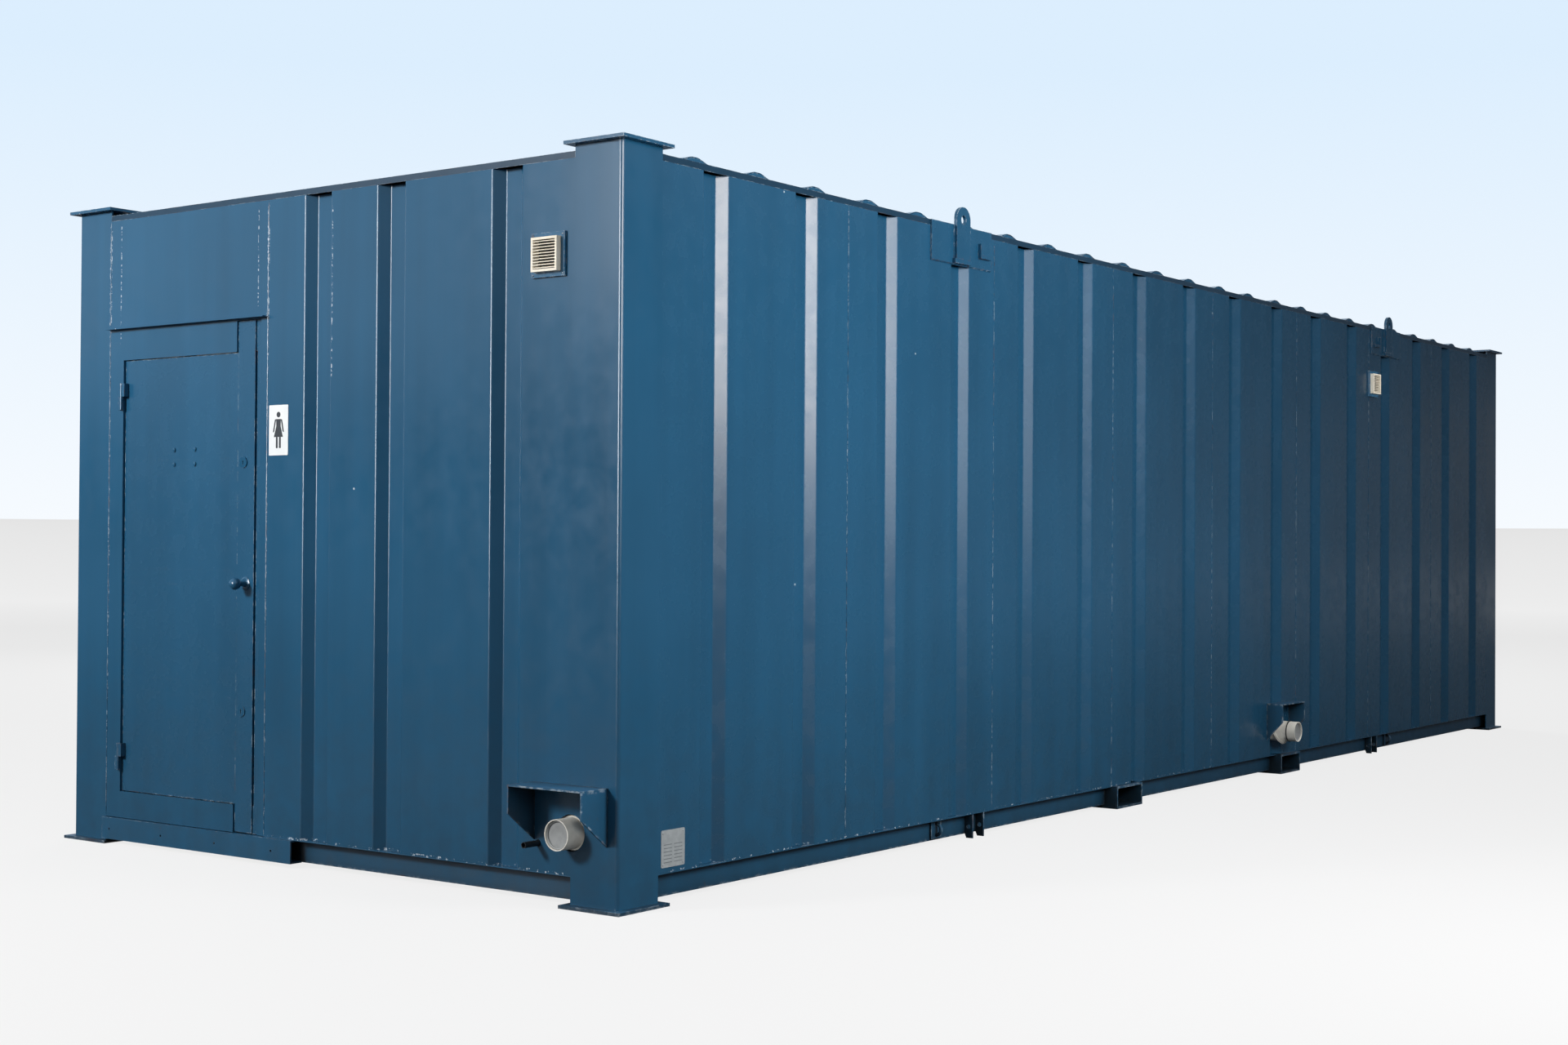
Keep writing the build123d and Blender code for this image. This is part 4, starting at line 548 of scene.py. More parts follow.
@dataclass
class Draft:
    """Points and faces of one piece while it is put together."""

    points: list[np.ndarray] = field(default_factory=list)
    faces: list[list[int]] = field(default_factory=list)
    count: int = 0

    def add_grid(self, grid: np.ndarray) -> None:
        """Adds a surface given as a grid of points, whose last column joins the first.

        Args:
            grid: Array of rows by columns by three.
        """
        rows, columns = grid.shape[:2]
        row = np.arange(rows - 1)[:, None] * columns
        column = np.arange(columns)[None, :]
        beside = (column + 1) % columns
        quads = np.stack(
            [row + column, row + beside, row + columns + beside, row + columns + column], axis=-1
        ).reshape(-1, 4)
        self.faces += (quads + self.count).tolist()
        self.points.append(grid.reshape(-1, 3))
        self.count += rows * columns

    def add_lid(self, ring: np.ndarray) -> None:
        """Adds one flat face over a ring.

        Args:
            ring: Array of points, once round.
        """
        self.faces.append(list(range(self.count, self.count + len(ring))))
        self.points.append(ring)
        self.count += len(ring)

    def add_tube(self, grid: np.ndarray) -> None:
        """Adds a surface that is closed round its columns and capped at both ends.

        Args:
            grid: Array of rows by columns by three.
        """
        self.add_grid(grid)
        self.add_lid(grid[0])
        self.add_lid(grid[-1])

    def carry(self, outline: np.ndarray, path: np.ndarray, across: np.ndarray, up: np.ndarray) -> None:
        """Carries a closed outline along a path: point = path + u times across + v times up, capped.

        Args:
            outline: Array of (u, v), once round.
            path: Array of points in the part's frame.
            across: Direction of u.
            up: Direction of v.
        """
        section = outline[:, :1] * across + outline[:, 1:] * up
        self.add_tube(path[:, None, :] + section[None, :, :])

    def turn(self, profile: np.ndarray, origin: np.ndarray, axis: np.ndarray, segments: int) -> None:
        """Turns a profile: point = origin + height times axis + radius times the spoke at each angle.

        Args:
            profile: Array of (radius, height), from one pole or rim to the other.
            origin: Foot of the axis.
            axis: Unit vector along the axis.
            segments: Number of spokes.
        """
        side = np.cross(axis, np.roll(axis, 1))
        side /= np.linalg.norm(side)
        other = np.cross(axis, side)
        angle = turns(segments)[None, :, None]
        spoke = np.cos(angle) * side + np.sin(angle) * other
        self.add_grid(origin + profile[:, 1, None, None] * axis + profile[:, 0, None, None] * spoke)

    def piece(self, name: str, material: bpy.types.Material, body: Body) -> None:
        """Closes the piece: merges doubles, points the faces outwards and rides it on a body.

        Args:
            name: Name of the object.
            material: Its finish.
            body: Body that carries it.
        """
        mesh = bpy.data.meshes.new(name)
        mesh.from_pydata(np.concatenate(self.points).tolist(), [], self.faces)
        draft = bmesh.new()
        draft.from_mesh(mesh)
        bmesh.ops.remove_doubles(draft, verts=draft.verts, dist=1e-6)
        bmesh.ops.recalc_face_normals(draft, faces=draft.faces)
        draft.to_mesh(mesh)
        draft.free()
        mesh.shade_smooth()
        mesh.set_sharp_from_angle(angle=SHARP_EDGE)
        mesh.materials.append(material)
        made = bpy.data.objects.new(name, mesh)
        bpy.context.scene.collection.objects.link(made)
        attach(made, body.value)
        LOG.info("%s: %d faces on %s", name, len(mesh.polygons), body.value)


@dataclass
class WeldBead:
    """A run of weld: a round bead, half sunk in the joint, swelling at each ripple and small at its ends."""

    radius: float = 0.004
    ripple: float = 0.007
    swell: float = 0.18
    taper: float = 0.2

    def run(self, draft: Draft, start: Any, finish: Any) -> None:
        """Adds one bead. The radius at distance s is r (1 + swell sin(2 pi s / ripple)).

        Args:
            draft: Piece that takes the bead.
            start: First point of its axis.
            finish: Last point of its axis.
        """
        start, finish = np.array(start, float), np.array(finish, float)
        length = np.linalg.norm(finish - start)
        ahead = (finish - start) / length
        side = np.cross(ahead, np.roll(np.abs(np.round(ahead)), 1))
        other = np.cross(ahead, side)
        along = np.linspace(0, length, max(int(length / self.ripple * 4), 8))
        size = self.radius * (1 + self.swell * np.sin(2 * np.pi * along / self.ripple))
        size[[0, -1]] *= self.taper
        angle = turns(8)[:, None]
        ring = np.cos(angle) * side + np.sin(angle) * other
        draft.add_tube(start + along[:, None, None] * ahead + size[:, None, None] * ring)


@dataclass
class Welds:
    """Weld beads that show: sheet seams, lugs and spreader plates."""

    paint: bpy.types.Material
    seam_bead: WeldBead = field(default_factory=lambda: WeldBead(radius=0.0022, ripple=0.12, swell=0.25))
    lug_half: float = 0.056
    spreader: float = 0.494
    spreader_thick: float = 0.008

    def build(self) -> None:
        """Builds the beads of the walls and of the fittings."""
        walls = Draft()
        for x in spaced(SEAM_COUNT, SEAM_PITCH):
            for y in (FRONT_FACE, REAR_FACE):
                self.seam_bead.run(walls, (x, y, SHEET_FOOT), (x, y, SHEET_HEAD))
        for y in (DOOR_SEAM, POST_EDGE):
            self.seam_bead.run(walls, (NEAR_FACE, y, SHEET_FOOT), (NEAR_FACE, y, SHEET_HEAD))
        walls.piece("wall_seam_welds", self.paint, Body.BLOCK)
        self.build_fittings()

    def build_fittings(self) -> None:
        """Builds the beads beside the lugs and under their spreader plates."""
        fittings = Draft()
        bead = WeldBead()
        low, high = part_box("lifting_lugs")
        plate_low, plate_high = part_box("lug_spreader_plates")
        half, thick = self.spreader / 2, self.spreader_thick
        for lug, plate in (
            (low.x + self.lug_half, plate_low.x + half),
            (high.x - self.lug_half, plate_high.x - half),
        ):
            for face, wall in ((FRONT_FACE - thick, FRONT_FACE), (REAR_FACE + thick, REAR_FACE)):
                for side in (-self.lug_half, self.lug_half):
                    bead.run(fittings, (lug + side, face, low.z), (lug + side, face, plate_high.z))
                bead.run(fittings, (plate - half, wall, plate_low.z), (plate + half, wall, plate_low.z))
        fittings.piece("fitting_welds", self.paint, Body.BLOCK)


@dataclass
class FootStrips:
    """Steel flats under the wall sheets, which close the feet of the grooves with one straight edge."""

    paint: bpy.types.Material
    thick: float = 0.004
    corner: float = 0.0015
    post: float = 0.217

    def build(self) -> None:
        """Builds the flats: a thin rounded section, from sheet face to rail, carried along each wall."""
        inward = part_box("base_rails")[0].y - FRONT_FACE
        section = rounded(inward, self.thick, self.corner, 3)
        height = SHEET_FOOT - self.thick / 2
        draft = Draft()
        for y in (FRONT_FACE + inward / 2, REAR_FACE - inward / 2):
            ends = (NEAR_FACE + self.post, FAR_FACE - self.post)
            draft.carry(section, np.array([(x, y, height) for x in ends]), Axis.Y.unit, Axis.Z.unit)
        for x, stop in (
            (NEAR_FACE + inward / 2, DOOR_SEAM),
            (FAR_FACE - inward / 2, REAR_FACE - self.post),
        ):
            ends = (FRONT_FACE + self.post, stop)
            draft.carry(section, np.array([(x, y, height) for y in ends]), Axis.X.unit, Axis.Z.unit)
        draft.piece("sheet_foot_strips", self.paint, Body.BLOCK)


@dataclass
class WallSign:
    """Door-side sign: a white plate with a plain figure, held by its own adhesive.

    The figure's sizes are in the plate's plane, from its centre: a round head, a dress that narrows to the
    waist and widens to the hem, two arms beside it and two legs below.
    """

    plate: bpy.types.Material
    ink: bpy.types.Material
    width: float = 0.112
    height: float = 0.198
    corner: float = 0.004
    thick: float = 0.002
    ink_thick: float = 0.0005
    y: float = DOOR_SEAM - 0.0695
    z: float = 1.710
    head_radius: float = 0.011
    head_rise: float = 0.061
    shoulder_half: float = 0.0135
    shoulder_rise: float = 0.0436
    waist_share: float = 0.4
    waist_in: float = 0.001
    hem_out: float = 0.0140
    dress_drop: float = 0.0706
    arm_out: float = 0.0115
    arm_drop: float = 0.05
    arm_wide: tuple[float, float] = (0.0075, -0.002)
    leg_size: tuple[float, float, float] = (0.0102, 0.044, 0.003)
    leg_at: tuple[float, float] = (0.0092, -0.049)

    def place(self, depth: float) -> np.ndarray:
        """Centre of the sign at a depth in front of the wall."""
        return np.array([NEAR_FACE - depth, self.y, self.z])

    def slab(self, draft: Draft, outline: np.ndarray, back: float, front: float) -> None:
        """Carries an outline, in the sign's plane, from one depth to another."""
        path = np.stack([self.place(back), self.place(front)])
        draft.carry(outline, path, -Axis.Y.unit, Axis.Z.unit)

    def build(self) -> None:
        """Builds the plate and its figure."""
        plate = Draft()
        self.slab(plate, rounded(self.width, self.height, self.corner), 0.0, self.thick)
        plate.piece("wall_sign", self.plate, Body.BLOCK)
        figure = Draft()
        for outline in self.figure():
            self.slab(figure, outline, self.thick, self.thick + self.ink_thick)
        figure.piece("wall_sign_figure", self.ink, Body.BLOCK)

    def figure(self) -> list[np.ndarray]:
        """Draws the figure. Half width and height run with the share fallen from shoulder to hem.

        Returns:
            Outlines of the head, the dress, the legs and the arms.
        """
        head = self.head_radius * spokes(turns(24))[:, :2] + (0, self.head_rise)
        fall = np.linspace(0, 1, 16)
        above = np.minimum(fall / self.waist_share, 1)
        below = np.maximum((fall - self.waist_share) / (1 - self.waist_share), 0)
        half = self.shoulder_half - self.waist_in * above + self.hem_out * below
        drop = self.shoulder_rise - self.dress_drop * fall
        dress = np.concatenate([np.stack([half, drop], axis=1), np.stack([-half, drop], axis=1)[::-1]])
        outlines = [head, dress]
        for side in (-1, 1):
            mirror = np.array([side, 1])
            outlines.append(rounded(*self.leg_size) + mirror * self.leg_at)
            reach = self.shoulder_half + self.arm_out * fall
            inner = np.stack([side * reach, self.shoulder_rise - self.arm_drop * fall], axis=1)
            outlines.append(np.concatenate([inner, (inner + mirror * self.arm_wide)[::-1]]))
        return outlines


@dataclass
class DataPlate:
    """Aluminium plate near the foot of the long side, on four dome rivets, ruled with blank rows."""

    metal: bpy.types.Material
    ink: bpy.types.Material
    width: float = 0.132
    height: float = 0.132
    corner: float = 0.006
    thick: float = 0.0012
    x: float = NEAR_FACE + 0.298
    z: float = 0.197
    rivet: float = 0.004
    rivet_rise: float = 0.0024
    rivet_inset: float = 0.01
    rule_size: tuple[float, float, float] = (0.046, 0.0032, 0.0008)
    rule_thick: float = 0.0002
    column_out: float = 0.029
    row_count: int = 6
    row_pitch: float = 0.0125
    first_row: float = 0.014

    def spot(self, u: float, v: float) -> np.ndarray:
        """Point on the plate's outer face, from its centre."""
        return np.array([self.x + u, FRONT_FACE - self.thick, self.z + v])

    def build(self) -> None:
        """Builds the plate, its rivets (a quarter ellipse, turned) and its blank rows."""
        out = -Axis.Y.unit
        front = self.spot(0, 0)
        draft = Draft()
        outline = rounded(self.width, self.height, self.corner)
        draft.carry(outline, np.stack([front - self.thick * out, front]), Axis.X.unit, Axis.Z.unit)
        bend = np.linspace(0, np.pi / 2, 6)
        dome = np.stack([self.rivet * np.cos(bend), self.rivet_rise * np.sin(bend)], axis=1)
        reach_u, reach_v = self.width / 2 - self.rivet_inset, self.height / 2 - self.rivet_inset
        for u in (-reach_u, reach_u):
            for v in (-reach_v, reach_v):
                draft.turn(dome, self.spot(u, v), out, 12)
        draft.piece("data_plate", self.metal, Body.BLOCK)

        rules = Draft()
        for u in (-self.column_out, self.column_out):
            for row in range(self.row_count):
                foot = self.spot(u, self.first_row - self.row_pitch * row)
                path = np.stack([foot, foot + self.rule_thick * out])
                rules.carry(rounded(*self.rule_size, 3), path, Axis.X.unit, Axis.Z.unit)
        rules.piece("data_plate_rules", self.ink, Body.BLOCK)


@dataclass
class Screws:
    """Pan-head screws: a turned head with a dished recess."""

    metal: bpy.types.Material
    radius: float = 0.0045
    inset: float = 0.009

    def head(self, draft: Draft, foot: np.ndarray, axis: np.ndarray) -> None:
        """Adds one head: its profile, as shares of the radius, goes up the rim and down into the recess.

        Args:
            draft: Piece that takes the head.
            foot: Point that it stands on.
            axis: Direction out of the surface.
        """
        profile = self.radius * np.array([
            (1, 0), (1, 0.25), (0.85, 0.5), (0.5, 0.6), (0.35, 0.6), (0.1, 0.3), (0, 0.3),
        ])
        draft.turn(profile, foot, axis, 14)

    def build(self) -> None:
        """Builds the screws at the corners of the vent frames."""
        vents = Draft()
        low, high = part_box("vent_frames")
        half = (high.z - low.z) / 2
        reach = half - self.inset
        for u in (-reach, reach):
            for v in (-reach, reach):
                height = low.z + half + v
                self.head(vents, np.array([low.x, high.y - half + u, height]), -Axis.X.unit)
                self.head(vents, np.array([high.x - half + u, low.y, height]), -Axis.Y.unit)
        vents.piece("vent_screws", self.metal, Body.BLOCK)


@dataclass
class DrainStoppers:
    """Push-in stoppers just inside the two drain ends: a dished disc with a raised rim."""

    plastic: bpy.types.Material
    rubber: bpy.types.Material
    radius: float = 0.0515
    depth: float = 0.011
    skirt: float = 0.016
    shoulder: float = 0.004
    lip: float = 0.006
    dish: float = 0.004
    seal_radius: float = 0.0565
    seal_half: tuple[float, float] = (0.0028, 0.003)

    def build(self) -> None:
        """Builds a stopper in each outlet, and the rubber ring where the side outlet enters its elbow.

        The ring is an ellipse turned about the pipe.
        """
        mounts = {mount["name"]: mount for mount in frame["record"]["mounts"]}
        draft = Draft()
        for name in ("soil_outlet_near", "soil_outlet_side"):
            middle, axis, half = self.outlet(mounts[name])
            self.add_stopper(draft, middle + (half - self.depth) * axis, axis)
        draft.piece("drain_stoppers", self.plastic, Body.BLOCK)

        middle, axis, half = self.outlet(mounts["soil_outlet_side"])
        turn = np.linspace(0, 2 * np.pi, 13)
        wide, deep = self.seal_half
        ring = Draft()
        profile = np.stack([self.seal_radius + wide * np.cos(turn), deep + deep * np.sin(turn)], axis=1)
        ring.turn(profile, middle - half * axis, axis, 40)
        ring.piece("drain_seal", self.rubber, Body.BLOCK)

    def outlet(self, mount: dict[str, Any]) -> tuple[np.ndarray, np.ndarray, float]:
        """Reads a drain's end from the record.

        Args:
            mount: Entry of the record.

        Returns:
            The middle of the straight end, the direction out of it and half its length.
        """
        return np.array(mount["pos_m"]), np.array(mount["axis"], float), mount["dims"]["length_mm"] / 2 * MM

    def add_stopper(self, draft: Draft, seat: np.ndarray, axis: np.ndarray) -> None:
        """Adds one stopper: its radius falls from rim to centre, and its height dips by a cosine.

        Args:
            draft: Piece that takes the stopper.
            seat: Centre of its face.
            axis: Direction out of the pipe.
        """
        share = np.linspace(0, 1, 9)
        dip = -self.dish * (1 - np.cos(np.pi * share)) / 2
        dish = np.stack([self.radius * 0.86 * (1 - share), dip], axis=1)
        rim = np.array([
            (0, -self.skirt),
            (self.radius, -self.skirt),
            (self.radius, self.shoulder),
            (self.radius * 0.94, self.lip),
            (self.radius * 0.88, self.shoulder),
        ])
        draft.turn(np.concatenate([rim, dish]), seat, axis, 40)


@dataclass
class DoorMarks:
    """Four painted-over rivets in the entrance door: low domes whose height falls as a cosine."""

    paint: bpy.types.Material
    radius: float = 0.009
    rise: float = 0.001
    spread: tuple[float, float] = (0.132, 0.060)
    from_edge: float = 0.439
    z: float = 1.617

    def build(self) -> None:
        """Builds the domes on the leaf's outer face."""
        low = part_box("door_leaf")[0]
        share = np.linspace(1, 0, 7)
        dome = np.stack([self.radius * share, self.rise * (1 + np.cos(np.pi * share)) / 2], axis=1)
        draft = Draft()
        for u in (-self.spread[0] / 2, self.spread[0] / 2):
            for v in (-self.spread[1] / 2, self.spread[1] / 2):
                foot = np.array([low.x, low.y + self.from_edge + u, self.z + v])
                draft.turn(dome, foot, -Axis.X.unit, 18)
        draft.piece("door_rivets", self.paint, Body.DOOR)


@dataclass
class Interior:
    """Cover strips over the joints of the lining boards."""

    strip: bpy.types.Material
    pitch: float = 1.22
    width: float = 0.04
    thick: float = 0.003
    lining: float = 0.012

    def build(self) -> None:
        """Builds upright strips along the rear wall: a bow, one less the fourth power, carried upwards."""
        low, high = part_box("wall_linings")
        wall = high.y - self.lining
        draft = Draft()
        bow = np.linspace(-1, 1, 9)
        face = np.stack([bow * self.width / 2, self.thick * (1 - bow ** 4)], axis=1)
        for x in spaced(int((high.x - low.x) / self.pitch), self.pitch):
            path = np.array([(x, wall, low.z), (x, wall, high.z)])
            draft.carry(face, path, Axis.X.unit, -Axis.Y.unit)
        draft.piece("lining_cover_strips", self.strip, Body.BLOCK)


@dataclass(frozen=True)
class Softbox:
    """A rectangular soft lamp that faces a point, and reaches all, or the named nodes and pieces alone."""

    name: str
    at: tuple[float, float, float]
    target: tuple[float, float, float]
    size: tuple[float, float]
    watts: float
    shine: Shine = Shine.LIGHT
    nodes: tuple[str, ...] = ()
    colour: str = "#ffffff"

    def build(self) -> None:
        """Adds the lamp to the scene."""
        data = bpy.data.lights.new(self.name, "AREA")
        data.shape = "RECTANGLE"
        data.size, data.size_y = self.size
        data.energy = self.watts
        data.color = hex_linear(self.colour)[:3]
        lamp = bpy.data.objects.new(self.name, data)
        lamp.location = self.at
        lamp.rotation_euler = (Vector(self.target) - Vector(self.at)).to_track_quat("-Z", "Y").to_euler()
        lamp.visible_camera = False
        lamp.visible_diffuse, lamp.visible_glossy = self.shine.value
        if self.nodes:
            reached = bpy.data.collections.new(self.name)
            for name in self.nodes:
                reached.objects.link(frame["nodes"].get(name) or bpy.data.objects[name])
            lamp.light_linking.receiver_collection = reached
        bpy.context.scene.collection.objects.link(lamp)


@dataclass
class Studio:
    """Pale floor, soft lamps, grey cloths for the gloss, backdrop and the photograph's camera."""

    eye: tuple[float, float, float] = (-10.225, -6.150, 1.270)
    right: tuple[float, float, float] = (0.58804, -0.80881, 0.00607)
    up: tuple[float, float, float] = (-0.01235, -0.00148, 0.99992)
    lens_mm: float = 48.07
    sensor_mm: float = 36.0
    sight: float = 500.0
    floor_rings: tuple[float, ...] = (0.0, 6.0, 12.0, 20.0)
    floor_flat: float = 35.0
    floor_reach: float = 70.0
    floor_rim: float = 2.05
    floor_matt: str = "#505050"
    floor_near: float = 8.0
    floor_tones: tuple[tuple[float, str], ...] = (
        (0.0, "#e9e9e9"), (0.35, "#e3e3e3"), (0.55, "#eaeaea"), (1.0, "#e0e0e0"),
    )
    flag_reach: float = 44.0
    flag_lift: float = 0.004
    flag_heights: tuple[float, float] = (8.5, 4.0)
    flag_toward: float = -0.7
    band_foot: float = 2.0
    band_height: float = 3.4
    band_least: float = 0.1
    mat_hole: float = 0.0005
    sky_rise: float = 0.22
    fill: float = 0.36

    def build(self) -> None:
        """Builds the stage, the world, the lamps and the camera."""
        self.build_floor()
        self.build_flags()
        self.build_world()
        for lamp in self.lamps():
            lamp.build()
        self.build_camera()

    def lamps(self) -> tuple[Softbox, ...]:
        """Lists the lamps: soft light from three sides, cards for the gloss, lamps for a few nodes alone.

        Returns:
            The lamps, with those under the ceiling last.
        """
        gloss = Shine.GLOSS
        long_side = ("front_wall_sheets", "corner_posts")
        pale = ("vent_frames", "vent_grilles", "soil_pipes")
        room = (
            "cubicle", "wc_", "flush", "wall_l", "ceiling", "floor_d", "wash", "tap", "pipe_b", "door_inner",
        )
        inside = tuple(name for name in frame["nodes"] if name.startswith(room)) + ("lining_cover_strips",)
        ceiling = 2.42
        return (
            Softbox("key_softbox", (-3.4, -6.0, 2.9), (-3.4, -1.5, 1.3), (1.8, 1.8), 248.0),
            Softbox("end_softbox", (-10.8, 2.3, 4.2), (-4.8, -0.1, 1.5), (1.4, 1.4), 515.0),
            Softbox("rear_softbox", (9.0, 9.5, 5.0), (1.5, 1.5, 1.4), (5.0, 4.0), 1100.0),
            Softbox(
                "slope_card", (-7.0, -5.5, 3.5), (-3.9, -1.5, 2.3), (2.2, 3.0), 345.0,
                gloss, long_side, "#fff4ea",
            ),
            Softbox(
                "second_slope_card", (-5.2, -5.7, 3.0), (-2.5, -1.5, 1.6), (2.4, 3.4), 84.0,
                gloss, long_side,
            ),
            Softbox("fitting_lamp", (1.2, -4.8, 2.3), (2.2, -1.6, 1.2), (1.2, 1.2), 100.0, nodes=pale),
            Softbox("near_fitting_lamp", (-7.5, -4.5, 1.2), (-4.9, -1.1, 0.3), (0.8, 0.8), 55.0, nodes=pale),
            Softbox("edge_card", (-11.8, 0.6, 2.7), (-4.8, 0.0, 1.8), (3.0, 3.0), 560.0, gloss),
            Softbox("sky_card", (-8.8, 1.2, 3.6), (-4.8, -1.4, 2.4), (1.6, 1.8), 26.0, gloss),
        ) + tuple(
            Softbox(name, (x, y, ceiling), (x, y, 0.0), (1.2, 0.6), watts, Shine.BOTH, inside)
            for name, x, y, watts in (
                ("near_room_lamp", -3.3, 0.5, 50.0),
                ("mid_room_lamp", 0.4, 0.4, 45.0),
                ("far_room_lamp", 3.5, 0.4, 50.0),
            )
        )

    def stand(self, name: str, grid: np.ndarray) -> bpy.types.Object:
        """Makes a stage object from rings of points about the vertical.

        Args:
            name: Name of the object.
            grid: Array of rings by spokes by three.

        Returns:
            The stage object.
        """
        draft = Draft()
        draft.add_grid(grid)
        mesh = bpy.data.meshes.new(name)
        mesh.from_pydata(draft.points[0].tolist(), [], draft.faces)
        mesh.shade_smooth()
        made = bpy.data.objects.new(name, mesh)
        bpy.context.scene.collection.objects.link(made)
        return made

    def build_floor(self) -> None:
        """Builds the floor: flat to a radius, then z = rim times the smoothed share of the rest."""
        radius = np.concatenate([self.floor_rings, np.linspace(self.floor_flat, self.floor_reach, 12)])
        share = np.clip((radius - self.floor_flat) / (self.floor_reach - self.floor_flat), 0, 1)
        rise = self.floor_rim * share ** 2 * (3 - 2 * share)
        grid = radius[:, None, None] * spokes(turns(96)) + rise[:, None, None] * Axis.Z.unit
        floor = self.stand("studio_floor", grid)
        floor.data.materials.append(self.floor_paint())

    def floor_paint(self) -> bpy.types.Material:
        """Makes the floor's matt paint: it takes shadows, and glows pale where it is seen, by the distance.

        Returns:
            The material.
        """
        paint = Finish("studio_floor_paint")
        material, tree, at = paint.blank()
        away = add_node(tree, "ShaderNodeVectorMath", {
            0: at, 1: (*self.eye[:2], 0.0),
        }, operation="DISTANCE")
        share = add_node(tree, "ShaderNodeMapRange", {
            "Value": away.outputs["Value"],
            "From Min": self.floor_near, "From Max": self.floor_reach + self.floor_near,
        })
        tint = add_node(tree, "ShaderNodeValToRGB", {0: share})
        stops = tint.color_ramp.elements
        stops.remove(stops[1])
        stops[0].color = hex_linear(self.floor_tones[0][1])
        for place, tone in self.floor_tones[1:]:
            stops.new(place).color = hex_linear(tone)
        matt = add_node(tree, "ShaderNodeBsdfDiffuse", {"Color": hex_linear(self.floor_matt)})
        glow = add_node(tree, "ShaderNodeEmission", {"Color": tint, "Strength": add_seen(tree)})
        paint.close(tree, add_node(tree, "ShaderNodeAddShader", {0: matt, 1: glow}))
        return material

    def build_flags(self) -> None:
        """Builds a dark mat and cloths round it, seen by gloss alone, so that the paint keeps its depth.

        The cloths stand highest beyond the long side: height = mean + swing times the cosine of the angle
        from there. A pale band lies between the low and the high grey cloth on that side.
        """
        angle = turns(48)
        lift = self.flag_lift * Axis.Z.unit
        circle = self.flag_reach * spokes(angle)
        mean, swing = self.flag_heights
        toward = np.cos(angle - self.flag_toward)[:, None]
        ring = circle + lift
        low = ring + self.band_foot * Axis.Z.unit
        high = low + (self.band_least + self.band_height * np.maximum(toward, 0)) * Axis.Z.unit
        top = ring + (mean + swing * toward) * Axis.Z.unit
        for name, rings, shades in (
            ("studio_mat", (self.mat_hole * circle + lift, ring), ("#4a4d50", "#525558")),
            ("studio_low_flags", (ring, low), ("#75787c", "#7d8084")),
            ("studio_pale_band", (low, high), ("#f0e9e2", "#ebe4dd")),
            ("studio_high_flags", (high, top), ("#8c8f93", "#94979b")),
        ):
            flag = self.stand(name, np.stack(rings))
            cloth = Mottled(name + "_cloth", *shades, drift_mm=3000, roughness=1.0, relief_mm=0.0)
            flag.data.materials.append(cloth.build())
            flag.visible_camera = False
            flag.visible_diffuse = False
            flag.visible_transmission = False
            flag.visible_shadow = False

    def build_world(self) -> None:
        """Builds the backdrop: white at the horizon, pale blue above, and an even fill for the light."""
        world = bpy.data.worlds.new("studio_world")
        bpy.context.scene.world = world
        world.use_nodes = True
        tree = world.node_tree
        tree.nodes.clear()
        toward = add_node(tree, "ShaderNodeTexCoord").outputs["Generated"]
        rise = add_node(tree, "ShaderNodeSeparateXYZ", {0: toward})
        height = add_node(tree, "ShaderNodeMapRange", {
            "Value": rise.outputs[2], "From Min": 0.0, "From Max": self.sky_rise,
        })
        sky = add_node(tree, "ShaderNodeMix", {
            0: height, 6: hex_linear("#f7fbff"), 7: hex_linear("#dceefe"),
        }, data_type="RGBA")
        fill = add_node(tree, "ShaderNodeBackground", {
            "Color": hex_linear("#f4f7fb"), "Strength": self.fill,
        })
        backdrop = add_node(tree, "ShaderNodeBackground", {"Color": sky.outputs[2], "Strength": 1.0})
        mix = add_node(tree, "ShaderNodeMixShader", {
            0: add_seen(tree), 1: fill, 2: backdrop,
        })
        add_node(tree, "ShaderNodeOutputWorld", {"Surface": mix})

    def build_camera(self) -> None:
        """Places the camera where the photograph was taken, with the photograph's slight roll."""
        data = bpy.data.cameras.new("photo_camera")
        data.sensor_width = self.sensor_mm
        data.sensor_fit = "HORIZONTAL"
        data.lens = self.lens_mm
        data.clip_end = self.sight
        camera = bpy.data.objects.new("photo_camera", data)
        right = Vector(self.right).normalized()
        back = right.cross(Vector(self.up)).normalized()
        up = back.cross(right)
        turned = Matrix((right, up, back)).transposed().to_4x4()
        turned.translation = Vector(self.eye)
        camera.matrix_world = turned
        bpy.context.scene.collection.objects.link(camera)
        bpy.context.scene.camera = camera
        bpy.context.scene.view_settings.view_transform = "Standard"


